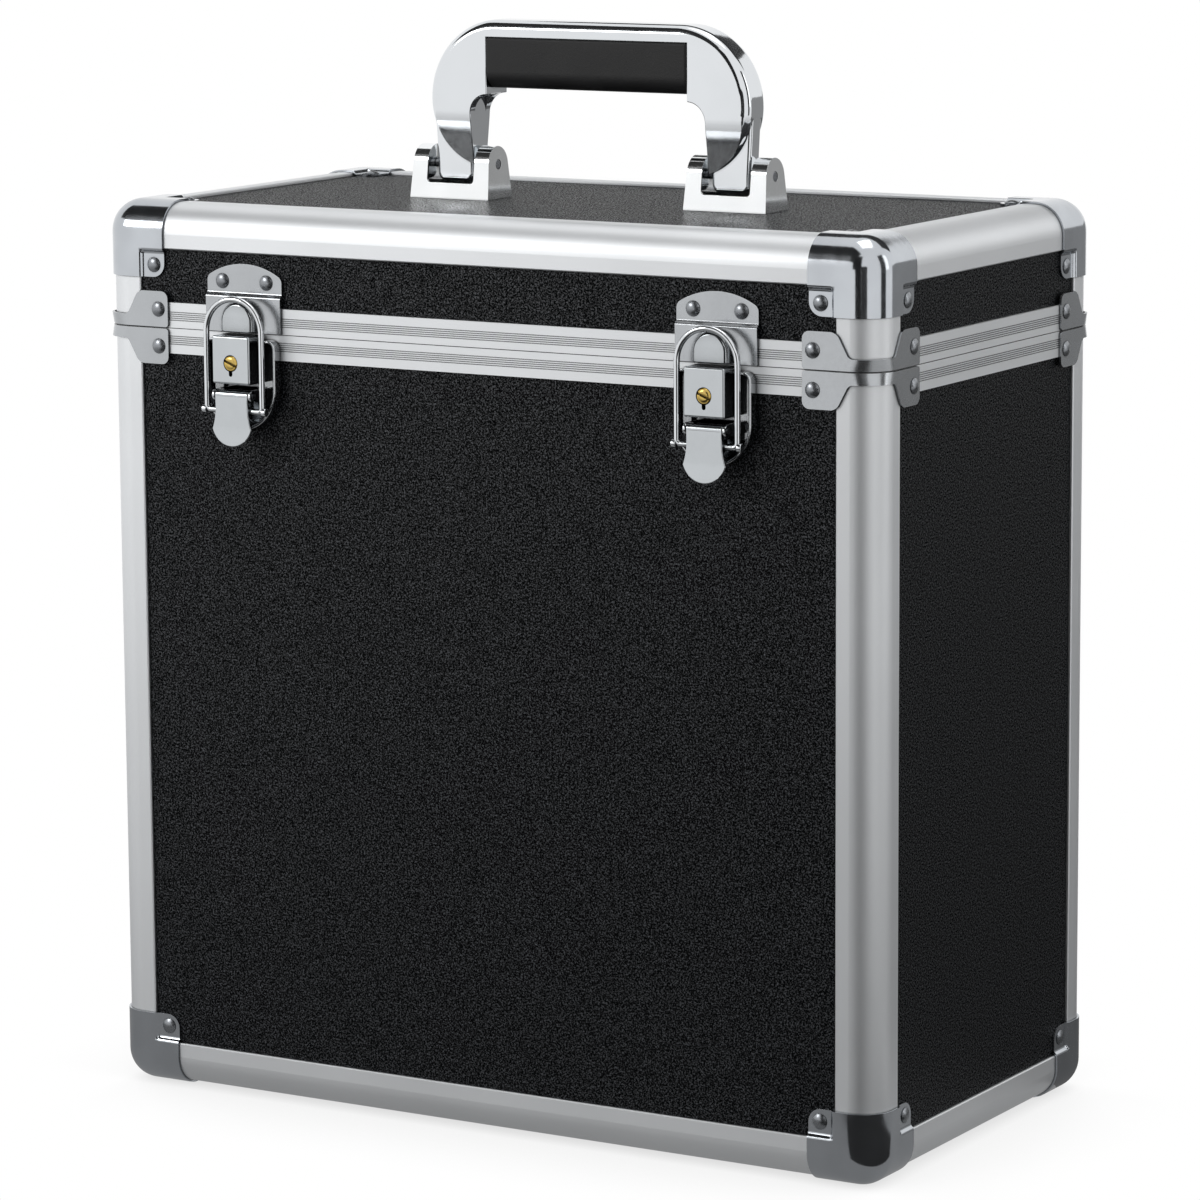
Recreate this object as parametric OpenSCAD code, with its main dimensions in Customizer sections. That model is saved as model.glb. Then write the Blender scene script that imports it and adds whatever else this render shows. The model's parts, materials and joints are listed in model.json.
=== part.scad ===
// Record carrying case: a deep base and a shallow hinged lid, both built from laminate
// panels held in corner edging, with ball corners, seam brackets, two locking draw
// latches on the front, two hinges on the back and a folding handle on the lid.
// Millimetres. The origin is the middle of the floor that the case stands on, +Z is up
// and the latches face -Y.

/* [Case] */
// Outside width over the edging
case_width = 350; // [330:1:420]
// Outside depth over the edging
case_depth = 185; // [160:1:300]
// Outside height over the edging, lid closed
case_height = 361; // [330:1:420]
// Height of the lid, from the seam to the top of the edging
lid_height = 49.3; // [47:0.1:90]

/* [Panels and lining] */
// Thickness of the laminate panels
panel_thickness = 4; // [3:0.5:5.5]
// Thickness of the foam lining
lining_thickness = 2; // [1:0.5:4]

/* [Edging] */
// Width of the edging on each face of the case
edging_width = 17.8; // [16.5:0.1:19]
// Radius of the edging's outer corner
edging_radius = 12; // [9:0.5:13.5]
// Thickness of the edging in front of a panel
edging_skin = 1.3; // [1.1:0.1:1.8]
// Thickness of the edging behind a panel
edging_lip = 1; // [0.8:0.1:1.6]
// Metal left between the edging's two panel slots
edging_core = 3.5; // [2.5:0.1:4.5]
// Chamfer along the edging's borders
edging_chamfer = 0.4; // [0.2:0.1:0.6]

/* [Seam rims] */
// Height of the ribbed rim on each side of the seam
rim_height = 10.2; // [9:0.1:12]
// Solid metal between the seam and the rim's panel slot
rim_web = 3; // [2.6:0.1:4]
// Number of fine grooves along a rim
groove_count = 5; // [3:1:6]
// Distance from groove to groove
groove_pitch = 0.8; // [0.7:0.05:1]
// Width of a groove
groove_width = 0.4; // [0.3:0.05:0.5]
// Depth of a groove
groove_depth = 0.35; // [0.2:0.05:0.5]
// Height of the tongue on the base that the lid's rim closes over
tongue_height = 1.5; // [1:0.1:1.8]
// Thickness of that tongue
tongue_thickness = 2; // [1.5:0.1:3]

/* [Ball corners] */
// Length of a ball corner along each edge of the case
cap_length = 29.3; // [28:0.1:31]
// How far ball corners and seam brackets stand proud of the edging
cap_proud = 1; // [0.8:0.1:1.4]
// Radius of the free corner of a ball corner's tab
cap_tab_radius = 5.5; // [3:0.5:7]
// Width of the sloping step down to a tab
cap_step_run = 1.2; // [0.6:0.1:1.6]

/* [Seam brackets] */
// Length of a seam bracket along the seam
bracket_length = 31.5; // [30:0.1:36]
// Width of its riveted tab
bracket_tab_width = 13.9; // [12:0.1:16]
// Height of its riveted tab
bracket_tab_height = 14.6; // [12:0.1:16]
// Height of the band that passes round the post
bracket_band_height = 4.8; // [3:0.1:7]
// Radius of the tab's corners
bracket_tab_radius = 3; // [1:0.5:4]
// Height at which the tab's inner edge slopes down to the band
bracket_slope_height = 11.6; // [9:0.1:11.6]
// Width of that slope
bracket_slope_width = 6; // [3:0.1:7]
// Distance of its rivet from the tab's end
bracket_rivet_inset = 4.5; // [4:0.1:6]
// Height of its rivet from the seam
bracket_rivet_height = 7.4; // [5:0.1:9]

/* [Rivets] */
// Radius of a rivet's head
rivet_head_radius = 3; // [2.2:0.1:3.4]
// Height of a rivet's head
rivet_head_height = 1.2; // [0.8:0.1:1.3]
// Radius of a rivet's shank
rivet_shank_radius = 1.5; // [1:0.1:1.8]

/* [Latches] */
// Distance from the side of the case to the middle of a latch
latch_inset = 68; // [58:1:90]
// Thickness of the sheet that the latches are pressed from
latch_sheet = 1.2; // [1:0.1:1.5]
// Width of the latch's base plate
latch_plate_width = 33.4; // [32.4:0.1:38]
// Distance from the seam down to the bottom of the base plate
latch_plate_drop = 38.4; // [36:0.1:46]
// Distance from the seam down to the top of the base plate
latch_plate_top = 2.1; // [0.5:0.1:4]
// Radius of the base plate's upper corners
latch_plate_corner = 3.5; // [2:0.1:6]
// Height of the raised edge round the base plate
latch_plate_edge = 3; // [1:0.1:4]
// Width of the lock box
lock_box_width = 17.6; // [17:0.1:20]
// Distance from the seam down to the bottom of the lock box
lock_box_drop = 19.4; // [18:0.1:19.6]
// How far the lock box stands out from the edging
lock_box_out = 10.5; // [10:0.1:12]
// Radius of the lock's plug
plug_radius = 3.25; // [2.6:0.05:3.6]
// Distance from the seam down to the plug's middle
plug_drop = 11.1; // [10:0.1:11.4]
// Depth of the key slot below the plug
key_slot_reach = 2; // [1.6:0.1:2.4]
// Turn of the plug's slot from level
plug_slot_turn = 22; // [0:1:45]
// Length of the cam behind the plug
cam_length = 6.4; // [4:0.1:6.6]
// Width of the catch plate on the lid
catch_width = 35.2; // [32:0.1:40]
// Height of the catch plate above the seam
catch_height = 27.3; // [26:0.1:28]
// Height of the catch plate's shoulders, where its round top begins
catch_shoulder = 22; // [20.5:0.1:23]
// Height of the fold where the catch plate steps back onto the panel
catch_fold = 15.6; // [13.2:0.1:16]
// Distance of the catch's rivets from its middle
catch_rivet_offset = 10.4; // [8:0.1:11]
// Height of the catch's rivets above the seam
catch_rivet_height = 20.2; // [19.6:0.1:20.6]
// Width of the catch's dome that the bail draws on
dome_width = 15.5; // [12:0.1:17]
// Height of the dome above the seam
dome_height = 12.9; // [11:0.1:12.9]
// Distance between the middles of the bail's legs
bail_width = 26; // [24.4:0.1:27]
// Radius of the bail's wire
bail_wire_radius = 1.2; // [0.8:0.05:1.4]
// Height of the middle of the bail's wire over the seam, at its top
bail_height = 14.1; // [13.8:0.1:15.5]
// Height of the lever's tongue where it is straight, from its pivot down
lever_straight = 4; // [2:0.1:6]
// Width of the lever at its pivot
lever_width = 15.3; // [13:0.1:15.4]
// Greatest width of the lever's tongue
tongue_width = 18.5; // [17:0.1:20]
// Distance from the lever's pivot down to the tongue's widest place
tongue_wide_drop = 13.4; // [12:0.1:15]
// Distance from the lever's pivot down to the tongue's tip
tongue_tip_drop = 20.2; // [18:0.1:23]
// Distance from the lever's pivot down to the bail's pivot
bail_pivot_drop = 6; // [5.2:0.1:6.6]
// Length of the pin heads outside the bail's legs
bail_head_length = 0.9; // [0.6:0.1:1.2]
// Radius of those heads
bail_head_radius = 1.7; // [1.5:0.1:1.8]
// How much nearer the case the bail's pivot lies than the lever's
over_centre = 0.3; // [0.1:0.05:0.5]
// Radius of the rolled barrel at the lever's pivot
lever_barrel_radius = 2.3; // [2:0.05:2.4]
// Radius of the lever's pin
lever_pin_radius = 1.2; // [0.8:0.05:1.4]
// Metal round the ends of the bail in the lever's cheeks
cheek_wall = 1; // [0.8:0.1:1.1]
// Gap between the lock box and the lever
lever_gap = 2.3; // [1.9:0.1:2.8]

/* [Hinges] */
// Distance from the side of the case to the middle of a hinge
hinge_inset = 68; // [58:1:100]
// Length of a hinge
hinge_length = 50; // [40:1:60]
// Height of a hinge leaf from the seam
hinge_leaf_height = 10; // [9.6:0.1:10.2]
// Thickness of a hinge leaf
hinge_leaf_thickness = 1.2; // [1:0.1:1.5]
// Length of the middle knuckle, on the lid
hinge_knuckle_length = 16.4; // [12:0.1:20]
// Outer radius of the knuckles
hinge_knuckle_radius = 2.7; // [2.4:0.1:2.9]
// Radius of the hinge pin
hinge_pin_radius = 1.5; // [1:0.1:1.7]
// Distance of the hinge's axis from the back of the edging
hinge_axis_out = 3.2; // [3.1:0.1:3.6]
// Length of the stop flanges from the hinge's axis
hinge_stop_length = 6.5; // [5:0.1:7]
// Distance of a leaf's rivets from its middle
hinge_rivet_offset = 17; // [14:0.5:18]
// Height of a leaf's rivets from the seam
hinge_rivet_height = 6.3; // [6:0.1:6.6]

/* [Handle] */
// Distance of each handle bracket's middle from the middle of the case
handle_bracket_offset = 63.5; // [55:0.5:75]
// Length of a handle bracket at its foot
handle_bracket_length = 37; // [35:0.5:40]
// Length of a handle bracket at its top
handle_bracket_top_length = 35; // [34:0.5:36]
// Depth of a handle bracket at its foot
handle_bracket_depth = 18.6; // [17:0.1:22]
// Gap between a bracket's two ears
handle_bracket_gap = 22; // [20:0.5:24]
// Radius of the ears' round tops
handle_ear_radius = 7.4; // [6:0.1:8]
// Height of the low walls between the ears, over the top of the edging
handle_wall_height = 5; // [3:0.1:5.2]
// Thickness of those low walls
handle_wall_thickness = 1.8; // [1.2:0.1:2.2]
// Height of the handle's pivot over the top of the edging
handle_pivot_height = 12.6; // [12.4:0.1:15]
// Radius of the handle's pins
handle_pin_radius = 2; // [1.5:0.1:2.5]
// Outside width of the handle
handle_width = 147; // [140:1:150]
// Width between the handle's legs
handle_inside_width = 108; // [104:1:112]
// Width of a leg's foot at the pivot
handle_foot_width = 17; // [15:0.1:18]
// Thickness of a leg's foot
handle_foot_thickness = 8.4; // [6:0.1:9]
// Reach of a foot below the pivot
handle_foot_drop = 7; // [5:0.1:7.4]
// Depth of the handle's bow, front to back
handle_depth = 16; // [14:0.1:16.4]
// Height of the handle over its pivot
handle_height = 58.4; // [56:0.1:62]
// Outer radius of the handle's top corners
handle_corner_radius = 32; // [26:0.5:34]
// Height of the bow's strip above the grip
handle_strip = 7; // [6:0.1:9]
// Height of the shoulders that close the bow under the grip's ends
handle_shoulder = 2.6; // [1.6:0.1:4]
// Radius along the bow's outer edges
handle_edge_radius = 4; // [2:0.5:5]
// Radius of the round lower border of each bow end
handle_bow_radius = 27; // [25:0.5:29]
// Depth of the bow at the tips of its ends, front to back
handle_tip_depth = 9.2; // [8.6:0.1:13]

/* [Grip] */
// Length of the grip
grip_length = 92; // [80:1:96]
// Height of the grip
grip_height = 20.3; // [18:0.1:22]
// Depth of the grip, front to back
grip_depth = 17; // [14:0.1:19]
// Radius of the grip's lower edges
grip_radius = 7; // [4:0.1:7]
// Radius of the screw heads at the grip's ends
grip_screw_radius = 2.4; // [1.6:0.1:2.6]

/* [Clearances] */
// Gap between the rims of base and lid
seam_gap = 0.3; // [0.2:0.05:0.5]
// Gap between a part and the surface that it is riveted to
seat_gap = 0.1; // [0.05:0.05:0.15]
// Gap between a panel's edge and the bottom of its slot
panel_edge_gap = 0.2; // [0.1:0.1:0.4]
// Gap where the ends of edging and rims meet
joint_gap = 0.1; // [0.1:0.05:0.3]
// Radial gap between a pin and its bore
pin_fit = 0.05; // [0.02:0.01:0.1]
// Gap between a moving part and its neighbour
moving_gap = 0.3; // [0.25:0.05:0.4]

/* [Hidden] */
$fn = 64;
aluminium = "#c6c8ca";
laminate = "#1b1c1e";
nickel = "#9a9da0";
chrome = "#d6d9dc";
rivet_steel = "#7d8084";
brass = "#c49a3c";
foam = "#2a2a2c";
rubber = "#18181a";

// Levels
base_bottom = cap_proud;
case_top = base_bottom + case_height;
seam_z = case_top - lid_height;

// Edging and panels, measured inwards from the outside of the edging
panel_slot = panel_thickness + 2 * seat_gap;
panel_inset = edging_skin + seat_gap;
edging_depth = edging_skin + panel_slot + edging_lip;
slot_start = edging_skin + panel_slot + edging_core;
panel_start = slot_start + panel_edge_gap;
rail_inset = edging_width + joint_gap;
rim_inset = edging_width + joint_gap;
panel_width = case_width - 2 * panel_start;
panel_depth = case_depth - 2 * panel_start;
lining_inset = edging_depth + seat_gap;
lining_width = case_width - 2 * lining_inset;
lining_depth = case_depth - 2 * lining_inset;

// Ball corners and seam brackets
cap_sheet = cap_proud - seat_gap;
tab_start = edging_width + seat_gap;
tab_back = panel_inset - seat_gap;
tab_face = tab_back - cap_sheet;
tab_wall = 0.3;
tab_flat_start = tab_start + tab_wall + cap_step_run;
cap_rivet_at = (tab_flat_start + cap_length) / 2;
bracket_tab_start = bracket_length - bracket_tab_width;
bracket_rivet_at = bracket_length - bracket_rivet_inset;
rivet_hole_radius = rivet_shank_radius + pin_fit;

// Latches: heights from the seam, distances out from the front of the edging
latch_offset = case_width / 2 - latch_inset;
latch_back = seat_gap;
latch_face = latch_back + latch_sheet;
lever_pivot_out = lock_box_out - lever_barrel_radius;
lever_pivot_z = -(lock_box_drop + lever_gap + lever_barrel_radius);
bail_out = lever_pivot_out - over_centre;
bail_pivot_z = lever_pivot_z - bail_pivot_drop;
bail_arch_radius = bail_width / 2;
bail_arch_z = bail_height - bail_arch_radius;
dome_out = bail_out - bail_wire_radius - moving_gap;
dome_radius = dome_width / 2;
dome_edge_radius = 1.8;
dome_bottom = 0.7;
latch_plate_radius = latch_plate_width / 2;
latch_plate_round_z = -(latch_plate_drop - latch_plate_radius);
lock_box_top = -seam_gap;
lock_box_inside = lock_box_width / 2 - latch_sheet;
ear_inside = lever_width / 2 + moving_gap;
ear_thickness = latch_sheet;
ear_radius = lever_barrel_radius + seat_gap;
cheek_thickness = cheek_wall;
cheek_radius = bail_wire_radius + cheek_wall;
tongue_sheet = latch_sheet;
tongue_bulge = tongue_tip_drop - tongue_wide_drop;
tongue_tip_radius = (pow(tongue_width / 2, 2) + pow(tongue_bulge, 2)) / (2 * tongue_bulge);
plug_face = lock_box_out + 0.4;
plug_collar = 1;
plug_slot_width = 1;
plug_slot_depth = 1.2;
key_slot_width = 1.7;
key_slot_drop = plug_radius + key_slot_reach;
cam_width = 2.6;
cam_thickness = 1.5;
catch_bulge = catch_height - catch_shoulder;
catch_round = (pow(catch_width / 2, 2) + pow(catch_bulge, 2)) / (2 * catch_bulge);

// Hinges
hinge_offset = case_width / 2 - hinge_inset;
hinge_half = hinge_length / 2;
knuckle_half = hinge_knuckle_length / 2;
hinge_relief = hinge_knuckle_radius + moving_gap;
hinge_stop_angle = 26;
hinge_stop_thickness = 1.2;

// Handle
bracket_foot_z = case_top - panel_inset + seat_gap;
handle_pivot_z = case_top + handle_pivot_height;
handle_ear_top = handle_pivot_z + handle_ear_radius;
handle_top_z = handle_pivot_z + handle_height;
grip_top_z = handle_top_z - handle_strip - seat_gap;
grip_bottom_z = grip_top_z - grip_height;
shoulder_z = grip_bottom_z - handle_shoulder;
handle_corner_x = handle_width / 2 - handle_corner_radius;
handle_corner_z = handle_top_z - handle_corner_radius;
handle_foot_x = handle_bracket_offset - handle_foot_width / 2;
handle_shoulder_x = grip_length / 2 + seat_gap;
screw_head_height = 1.5;
screw_length = 3;
screw_x = (handle_shoulder_x + handle_inside_width / 2) / 2;

// ---------- Placing ----------

// The child and its mirror image on the other side of the case
module on_both_sides() {
    children();
    mirror([1, 0, 0]) children();
}

// The child, drawn at a corner that lies at the origin, at all four vertical edges
module at_four_corners() {
    for (turn = [0, 1]) {
        rotate([0, 0, 180 * turn]) {
            translate([-case_width / 2, -case_depth / 2, 0]) children();
            mirror([1, 0, 0]) translate([-case_width / 2, -case_depth / 2, 0]) children();
        }
    }
}

// The child, drawn upwards from the floor of the base, on the lid's top instead
module on_lid_top() {
    translate([0, 0, case_top]) mirror([0, 0, 1]) children();
}

// The child on the three faces that meet in a corner at the origin
module on_three_faces() {
    children();
    rotate([90, 0, 90]) children();
    rotate([90, 0, 90]) rotate([90, 0, 90]) children();
}

// A latch's own place: middle of the latch, front of the edging, seam
module at_latch(side) {
    translate([side * latch_offset, -case_depth / 2, seam_z]) children();
}

// A hinge's own place: middle of the hinge, back of the edging, seam
module at_hinge(side) {
    translate([side * hinge_offset, case_depth / 2, seam_z]) children();
}

// An outline seen from the front, as a plate from one distance out to another
module front_plate(out_from, out_to) {
    translate([0, -out_from, 0]) rotate([90, 0, 0]) linear_extrude(out_to - out_from) children();
}

// An outline seen from the side, across one width
module side_plate(x_from, x_to) {
    translate([x_from, 0, 0]) rotate([90, 0, 90]) linear_extrude(x_to - x_from) children();
}

// A round bar across the latch or hinge, at a place seen from the side
module cross_bar(y, z, radius, half_length) {
    translate([-half_length, y, z]) rotate([0, 90, 0]) cylinder(r = radius, h = 2 * half_length);
}

// ---------- Edging and rims ----------

// A square corner with its outer edge rounded
module rounded_corner(radius, reach) {
    translate([radius, radius]) circle(radius);
    translate([radius, 0]) square([reach - radius, reach]);
    translate([0, radius]) square([reach, reach - radius]);
}

// Section of the corner edging, with its two panel slots
module edging_section() {
    difference() {
        intersection() {
            rounded_corner(edging_radius, edging_width);
            square(edging_width);
        }
        translate([edging_depth, edging_depth]) square(edging_width);
        translate([slot_start, edging_skin]) square([edging_width, panel_slot]);
        translate([edging_skin, slot_start]) square([panel_slot, edging_width]);
        polygon([[edging_width - edging_chamfer, 0], [edging_width, -1], [edging_width, edging_chamfer]]);
        polygon([[0, edging_width - edging_chamfer], [-1, edging_width], [edging_chamfer, edging_width]]);
    }
}

module corner_post(length) {
    color(aluminium) linear_extrude(length) edging_section();
}

// Front edging at floor level
module long_rail() {
    length = case_width - 2 * rail_inset;
    color(aluminium)
        translate([-length / 2, -case_depth / 2, 0])
            rotate([90, 0, 90]) linear_extrude(length) edging_section();
}

// Left edging at floor level
module short_rail() {
    length = case_depth - 2 * rail_inset;
    color(aluminium)
        translate([-case_width / 2, length / 2, 0])
            rotate([90, 0, 0]) linear_extrude(length) edging_section();
}

// Fine grooves of a rim, counted away from the seam
module rim_grooves() {
    for (i = [0 : groove_count - 1]) {
        translate([-1, rim_web + i * groove_pitch]) square([1 + groove_depth, groove_width]);
    }
}

// Section of the base's rim below the seam
module base_rim_section() {
    difference() {
        union() {
            translate([0, -rim_height]) square([edging_depth, rim_height - seam_gap / 2]);
            translate([edging_depth - tongue_thickness, -rim_web])
                square([tongue_thickness, rim_web + tongue_height]);
        }
        translate([edging_skin, -rim_height - 1]) square([panel_slot, 1 + rim_height - rim_web]);
        mirror([0, 1]) rim_grooves();
    }
}

// Section of the lid's rim above the seam
module lid_rim_section() {
    difference() {
        translate([0, seam_gap / 2]) square([edging_depth, rim_height - seam_gap / 2]);
        translate([edging_depth - tongue_thickness - moving_gap, -1])
            square([edging_depth, 1 + tongue_height + moving_gap]);
        translate([edging_skin, rim_web]) square([panel_slot, rim_height]);
        rim_grooves();
    }
}

// A rim section along the front of the seam
module long_rim() {
    length = case_width - 2 * rim_inset;
    color(aluminium)
        translate([-length / 2, -case_depth / 2, seam_z])
            rotate([90, 0, 90]) linear_extrude(length) children();
}

// A rim section along the left of the seam
module short_rim() {
    length = case_depth - 2 * rim_inset;
    color(aluminium)
        translate([-case_width / 2, length / 2, seam_z])
            rotate([90, 0, 0]) linear_extrude(length) children();
}

// ---------- Panels ----------

// Panel behind the front edging, between two levels
module front_panel(z_from, z_to) {
    color(laminate)
        translate([-panel_width / 2, -case_depth / 2 + panel_inset, z_from])
            cube([panel_width, panel_thickness, z_to - z_from]);
}

// Panel behind the left edging, between two levels
module left_panel(z_from, z_to) {
    color(laminate)
        translate([-case_width / 2 + panel_inset, -panel_depth / 2, z_from])
            cube([panel_thickness, panel_depth, z_to - z_from]);
}

// Panel behind the floor's edging
module floor_panel() {
    color(laminate)
        translate([-panel_width / 2, -panel_depth / 2, panel_inset])
            cube([panel_width, panel_depth, panel_thickness]);
}

base_panel_bottom = base_bottom + panel_start;
base_panel_top = seam_z - rim_web - panel_edge_gap;
lid_panel_bottom = seam_z + rim_web + panel_edge_gap;
lid_panel_top = case_top - panel_start;

module base_front_panel() { front_panel(base_panel_bottom, base_panel_top); }
module base_back_panel() { mirror([0, 1, 0]) base_front_panel(); }
module base_left_panel() { left_panel(base_panel_bottom, base_panel_top); }
module base_right_panel() { mirror([1, 0, 0]) base_left_panel(); }
module base_bottom_panel() { translate([0, 0, base_bottom]) floor_panel(); }

module lid_top_panel() { on_lid_top() floor_panel(); }
module lid_front_panel() { front_panel(lid_panel_bottom, lid_panel_top); }
module lid_back_panel() { mirror([0, 1, 0]) lid_front_panel(); }
module lid_left_panel() { left_panel(lid_panel_bottom, lid_panel_top); }
module lid_right_panel() { mirror([1, 0, 0]) lid_left_panel(); }

// ---------- Posts, rails and rims ----------

module base_corner_posts() {
    post_bottom = base_bottom + rail_inset;
    translate([0, 0, post_bottom])
        at_four_corners() corner_post(seam_z - seam_gap / 2 - post_bottom);
}

module lid_corner_posts() {
    post_bottom = seam_z + seam_gap / 2;
    translate([0, 0, post_bottom])
        at_four_corners() corner_post(case_top - rail_inset - post_bottom);
}

module base_front_rail() { translate([0, 0, base_bottom]) long_rail(); }
module base_back_rail() { mirror([0, 1, 0]) base_front_rail(); }
module base_left_rail() { translate([0, 0, base_bottom]) short_rail(); }
module base_right_rail() { mirror([1, 0, 0]) base_left_rail(); }

module lid_front_rail() { on_lid_top() long_rail(); }
module lid_back_rail() { mirror([0, 1, 0]) lid_front_rail(); }
module lid_left_rail() { on_lid_top() short_rail(); }
module lid_right_rail() { mirror([1, 0, 0]) lid_left_rail(); }

module base_front_rim() { long_rim() base_rim_section(); }
module base_back_rim() { mirror([0, 1, 0]) base_front_rim(); }
module base_left_rim() { short_rim() base_rim_section(); }
module base_right_rim() { mirror([1, 0, 0]) base_left_rim(); }

module lid_front_rim() { long_rim() lid_rim_section(); }
module lid_back_rim() { mirror([0, 1, 0]) lid_front_rim(); }
module lid_left_rim() { short_rim() lid_rim_section(); }
module lid_right_rim() { mirror([1, 0, 0]) lid_left_rim(); }

// ---------- Lining ----------

// Foam round the walls, inside the edging
module wall_lining(z_from, z_to) {
    color(foam)
        translate([0, 0, z_from])
            linear_extrude(z_to - z_from)
                difference() {
                    square([lining_width, lining_depth], center = true);
                    square([lining_width - 2 * lining_thickness, lining_depth - 2 * lining_thickness],
                        center = true);
                }
}

// Foam sheet over the floor's edging
module floor_lining() {
    color(foam)
        translate([-lining_width / 2, -lining_depth / 2, lining_inset])
            cube([lining_width, lining_depth, lining_thickness]);
}

module base_floor_lining() { translate([0, 0, base_bottom]) floor_lining(); }

module base_wall_lining() {
    wall_lining(base_bottom + lining_inset + lining_thickness + seat_gap, seam_z - rim_height);
}

module lid_lining() {
    on_lid_top() floor_lining();
    wall_lining(seam_z + rim_height, case_top - lining_inset - lining_thickness);
}

// ---------- Ball corners ----------

// Block that fills a corner at the origin, its edges and tip rounded
module ball_block(radius, reach) {
    translate([radius, radius, radius]) sphere(radius);
    on_three_faces() translate([radius, radius, radius]) cylinder(r = radius, h = reach - radius);
    on_three_faces() translate([radius, radius, 0]) cube([reach - radius, reach - radius, reach]);
}

// Room over a ball corner's tab, with one sloping side
module tab_slope() {
    translate([0, 2 * cap_length, 0])
        rotate([90, 0, 0])
            linear_extrude(2 * cap_length)
                polygon([
                    [tab_start + tab_wall, -2 * cap_proud],
                    [tab_start + tab_wall, -cap_proud],
                    [tab_flat_start, tab_face],
                    [2 * cap_length, tab_face],
                    [2 * cap_length, -2 * cap_proud]
                ]);
}

// Everything cut from one face of a ball corner
module tab_cut() {
    tab_round_at = cap_length - cap_tab_radius;
    intersection() {
        tab_slope();
        mirror([1, -1, 0]) tab_slope();
    }
    difference() {
        translate([tab_round_at, tab_round_at, -2 * cap_proud]) cube([cap_length, cap_length, 5 * cap_proud]);
        translate([tab_round_at, tab_round_at, -3 * cap_proud])
            cylinder(r = cap_tab_radius, h = 7 * cap_proud);
    }
    translate([cap_rivet_at, cap_rivet_at, -cap_proud]) cylinder(r = rivet_hole_radius, h = 4 * cap_proud);
}

// Ball corner for a corner of the case that lies at the origin
module ball_corner() {
    tab_block = cap_length - tab_start;
    color(nickel)
        difference() {
            translate([-cap_proud, -cap_proud, -cap_proud])
                ball_block(edging_radius + cap_proud, cap_length + cap_proud);
            difference() {
                translate([-seat_gap, -seat_gap, -seat_gap])
                    ball_block(edging_radius + seat_gap, 2 * cap_length);
                on_three_faces() translate([tab_start, tab_start, -cap_proud])
                    cube([tab_block, tab_block, cap_proud + tab_back]);
            }
            on_three_faces() tab_cut();
        }
}

module base_corner_caps() { translate([0, 0, base_bottom]) at_four_corners() ball_corner(); }
module lid_corner_caps() { on_lid_top() at_four_corners() ball_corner(); }

// ---------- Seam brackets ----------

// One wing of a seam bracket, laid flat, with the seam along the bottom
module bracket_wing() {
    tab_top = bracket_tab_height - bracket_tab_radius;
    left_round = bracket_tab_start + bracket_tab_radius;
    right_round = bracket_length - bracket_tab_radius;
    difference() {
        union() {
            translate([-2 * cap_proud, seam_gap])
                square([bracket_length + 2 * cap_proud, bracket_band_height - seam_gap]);
            translate([bracket_tab_start, seam_gap]) square([bracket_tab_width, tab_top - seam_gap]);
            translate([left_round, seam_gap])
                square([right_round - left_round, bracket_tab_height - seam_gap]);
            translate([left_round, tab_top]) circle(bracket_tab_radius);
            translate([right_round, tab_top]) circle(bracket_tab_radius);
            polygon([
                [bracket_tab_start - bracket_slope_width, bracket_band_height],
                [bracket_tab_start, bracket_slope_height],
                [left_round, bracket_slope_height],
                [left_round, bracket_band_height]
            ]);
        }
        translate([bracket_rivet_at, bracket_rivet_height]) circle(rivet_hole_radius);
    }
}

// Seam bracket for a post whose outer corner lies at the origin, above the seam
module seam_bracket() {
    color(nickel)
        intersection() {
            linear_extrude(bracket_tab_height)
                difference() {
                    translate([-cap_proud, -cap_proud])
                        rounded_corner(edging_radius + cap_proud, bracket_length + cap_proud);
                    translate([-seat_gap, -seat_gap])
                        rounded_corner(edging_radius + seat_gap, 2 * bracket_length);
                }
            union() {
                front_plate(-edging_radius, 2 * cap_proud) bracket_wing();
                mirror([1, -1, 0]) front_plate(-edging_radius, 2 * cap_proud) bracket_wing();
            }
        }
}

module lid_seam_brackets() { translate([0, 0, seam_z]) at_four_corners() seam_bracket(); }

module base_seam_brackets() {
    translate([0, 0, seam_z]) mirror([0, 0, 1]) at_four_corners() seam_bracket();
}

// ---------- Rivets ----------

// Rivet with its head above z = 0 and its shank through the sheet below
module rivet(sheet) {
    ball_radius = (pow(rivet_head_radius, 2) + pow(rivet_head_height, 2)) / (2 * rivet_head_height);
    color(rivet_steel) {
        intersection() {
            translate([0, 0, rivet_head_height - ball_radius]) sphere(ball_radius);
            cylinder(r = rivet_head_radius + 1, h = rivet_head_height + 1);
        }
        translate([0, 0, -sheet]) cylinder(r = rivet_shank_radius, h = sheet);
    }
}

// The three rivets of a ball corner whose corner lies at the origin
module ball_corner_rivets() {
    on_three_faces()
        translate([cap_rivet_at, cap_rivet_at, tab_face]) rotate([180, 0, 0]) rivet(cap_sheet);
}

// The two rivets of a seam bracket above the seam
module seam_bracket_rivets() {
    translate([bracket_rivet_at, -cap_proud, bracket_rivet_height]) rotate([90, 0, 0]) rivet(cap_sheet);
    translate([-cap_proud, bracket_rivet_at, bracket_rivet_height]) rotate([0, -90, 0]) rivet(cap_sheet);
}

// The two rivets of a hinge leaf above the seam
module hinge_rivets() {
    for (side = [-1, 1]) {
        translate([side * hinge_rivet_offset, seat_gap + hinge_leaf_thickness, hinge_rivet_height])
            rotate([-90, 0, 0]) rivet(hinge_leaf_thickness);
    }
}

module base_rivets() {
    translate([0, 0, base_bottom]) at_four_corners() ball_corner_rivets();
    translate([0, 0, seam_z]) mirror([0, 0, 1]) at_four_corners() seam_bracket_rivets();
    for (side = [-1, 1]) at_hinge(side) mirror([0, 0, 1]) hinge_rivets();
}

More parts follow.
